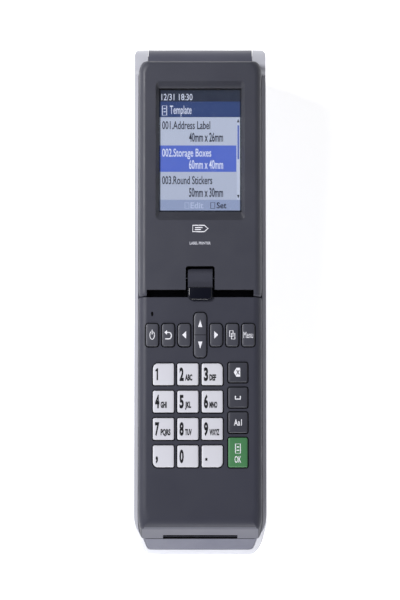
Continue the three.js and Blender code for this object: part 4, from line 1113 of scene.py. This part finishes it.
def build_inside():
    for node, body, material, slot, width in (
            ("keypad_board", "cover", "board", "board", 0.1),
            ("display_back", "display", "cover", "charcoal", 0.3),
            ("display_module", "display", "socket", "screen", 0.2),
            ("display_tilt_pin", "display", "blued", "steel", 0.3),
            ("cover_hinge_pin", "base", "steel", "steel", 0.4),
            ("tear_bar", "base", "sheet", "steel", 0.08),
            ("print_frame", "base", "sheet", "steel", 0.2),
            ("stepper_motor", "base", "steel", "steel", 0.5),
            ("paper_guide", "base", "cover", "charcoal", 0.2),
            ("battery_pack", "base", "cell", "cell", 1.2),
            ("battery_door", "door", "tub", "tub", 0.25),
            ("main_board", "base", "board", "board", 0.1),
            ("power_inlet", "base", "socket", "gloss_black", 0.3),
            ("data_port", "base", "steel", "steel", 0.15),
            ("platen_roller", "platen", "platen", "platen_rubber", 0.4),
            ("platen_shaft", "platen", "steel", "steel", 0.3),
            ("platen_gear", "platen", "nylon", "nylon", 0.12),
            ("idler_gear", "idler", "nylon", "nylon", 0.12),
            ("motor_pinion", "pinion", "brass", "steel", 0.1),
            ("label_roll", "roll", "paper", "paper", 0.3),
            ("roll_guide_left", "guide_left", "nylon", "nylon", 0.4),
            ("roll_guide_right", "guide_right", "nylon", "nylon", 0.4),
            ("release_latch_left", "latch_left", "cover", "charcoal", 0.35),
            ("release_latch_right", "latch_right", "cover", "charcoal", 0.35),
            ("print_head", "head", "alloy", "head", 0.15)):
        refine(node, body, M[material], width)


# ------------------------------------------------------------------ studio
def build_studio():
    half = 12.0
    mesh = bpy.data.meshes.new("floor")
    mesh.from_pydata([(-half, -half, 0), (half, -half, 0), (half, half, 0), (-half, half, 0)], [],
                     [(0, 1, 2, 3)])
    floor = placed("floor", mesh)
    n = Nodes("floor_paper")
    n.feed(n.mix(n.span(n.noise(3, 3), 0, 1, 0.3, 0.7), (0.93, 0.93, 0.935, 1), (0.95, 0.95, 0.955, 1)),
           "Base Color")
    n.fix({"Roughness": 0.9, "Specular IOR Level": 0.1, "Emission Color": (1, 1, 1, 1),
           "Emission Strength": 0.6})
    paint(floor, n.material)

    scene = bpy.context.scene
    world = bpy.data.worlds.new("studio")
    world.use_nodes = True
    tree = world.node_tree
    place = tree.nodes.new("ShaderNodeTexCoord")
    split = tree.nodes.new("ShaderNodeSeparateXYZ")
    ramp = tree.nodes.new("ShaderNodeValToRGB")
    stops = ramp.color_ramp.elements
    stops[0].color = (1.65, 1.65, 1.65, 1)
    stops[1].position = 0.9
    stops[1].color = (0.16, 0.16, 0.18, 1)
    for position, level in ((0.10, 1.6), (0.28, 0.95)):
        stops.new(position).color = (level, level, level, 1)
    tree.links.new(place.outputs["Generated"], split.inputs[0])
    tree.links.new(split.outputs["Z"], ramp.inputs[0])
    tree.links.new(ramp.outputs[0], tree.nodes["Background"].inputs["Color"])
    tree.nodes["Background"].inputs["Strength"].default_value = 0.62
    scene.world = world
    scene.view_settings.view_transform = "Standard"

    def lamp(name, position, target, power, width, height):
        light = bpy.data.lights.new(name, "AREA")
        light.shape = "RECTANGLE"
        light.size, light.size_y = width, height
        light.energy = power
        obj = placed(name, light)
        obj.location = position
        obj.rotation_euler = (Vector(target) - Vector(position)).to_track_quat("-Z", "Y").to_euler()

    lamp("key", (-0.50, 0.22, 0.66), (0, 0.02, 0.05), 6.4, 0.30, 0.30)
    lamp("front", (-0.1, -1.1, 0.42), (0, -0.15, 0.03), 7.5, 0.8, 0.25)


def build_camera():
    """A long lens from steeply above the front."""
    elevation, distance = 73 * DEG, 4.0
    target = Vector((-0.00012, -0.0061, 0.055))
    camera = bpy.data.cameras.new("camera")
    camera.lens, camera.sensor_width, camera.clip_end = 391, 36, 20
    obj = placed("camera", camera)
    obj.location = target + Vector((0, -math.cos(elevation), math.sin(elevation))) * distance
    obj.rotation_euler = (90 * DEG - elevation, 0, 0)
    bpy.context.scene.camera = obj


build_camera()
build_studio()
build_cover()
build_keys()
build_display()
build_screen()
build_signs()
build_tub()
build_tray()
build_inside()
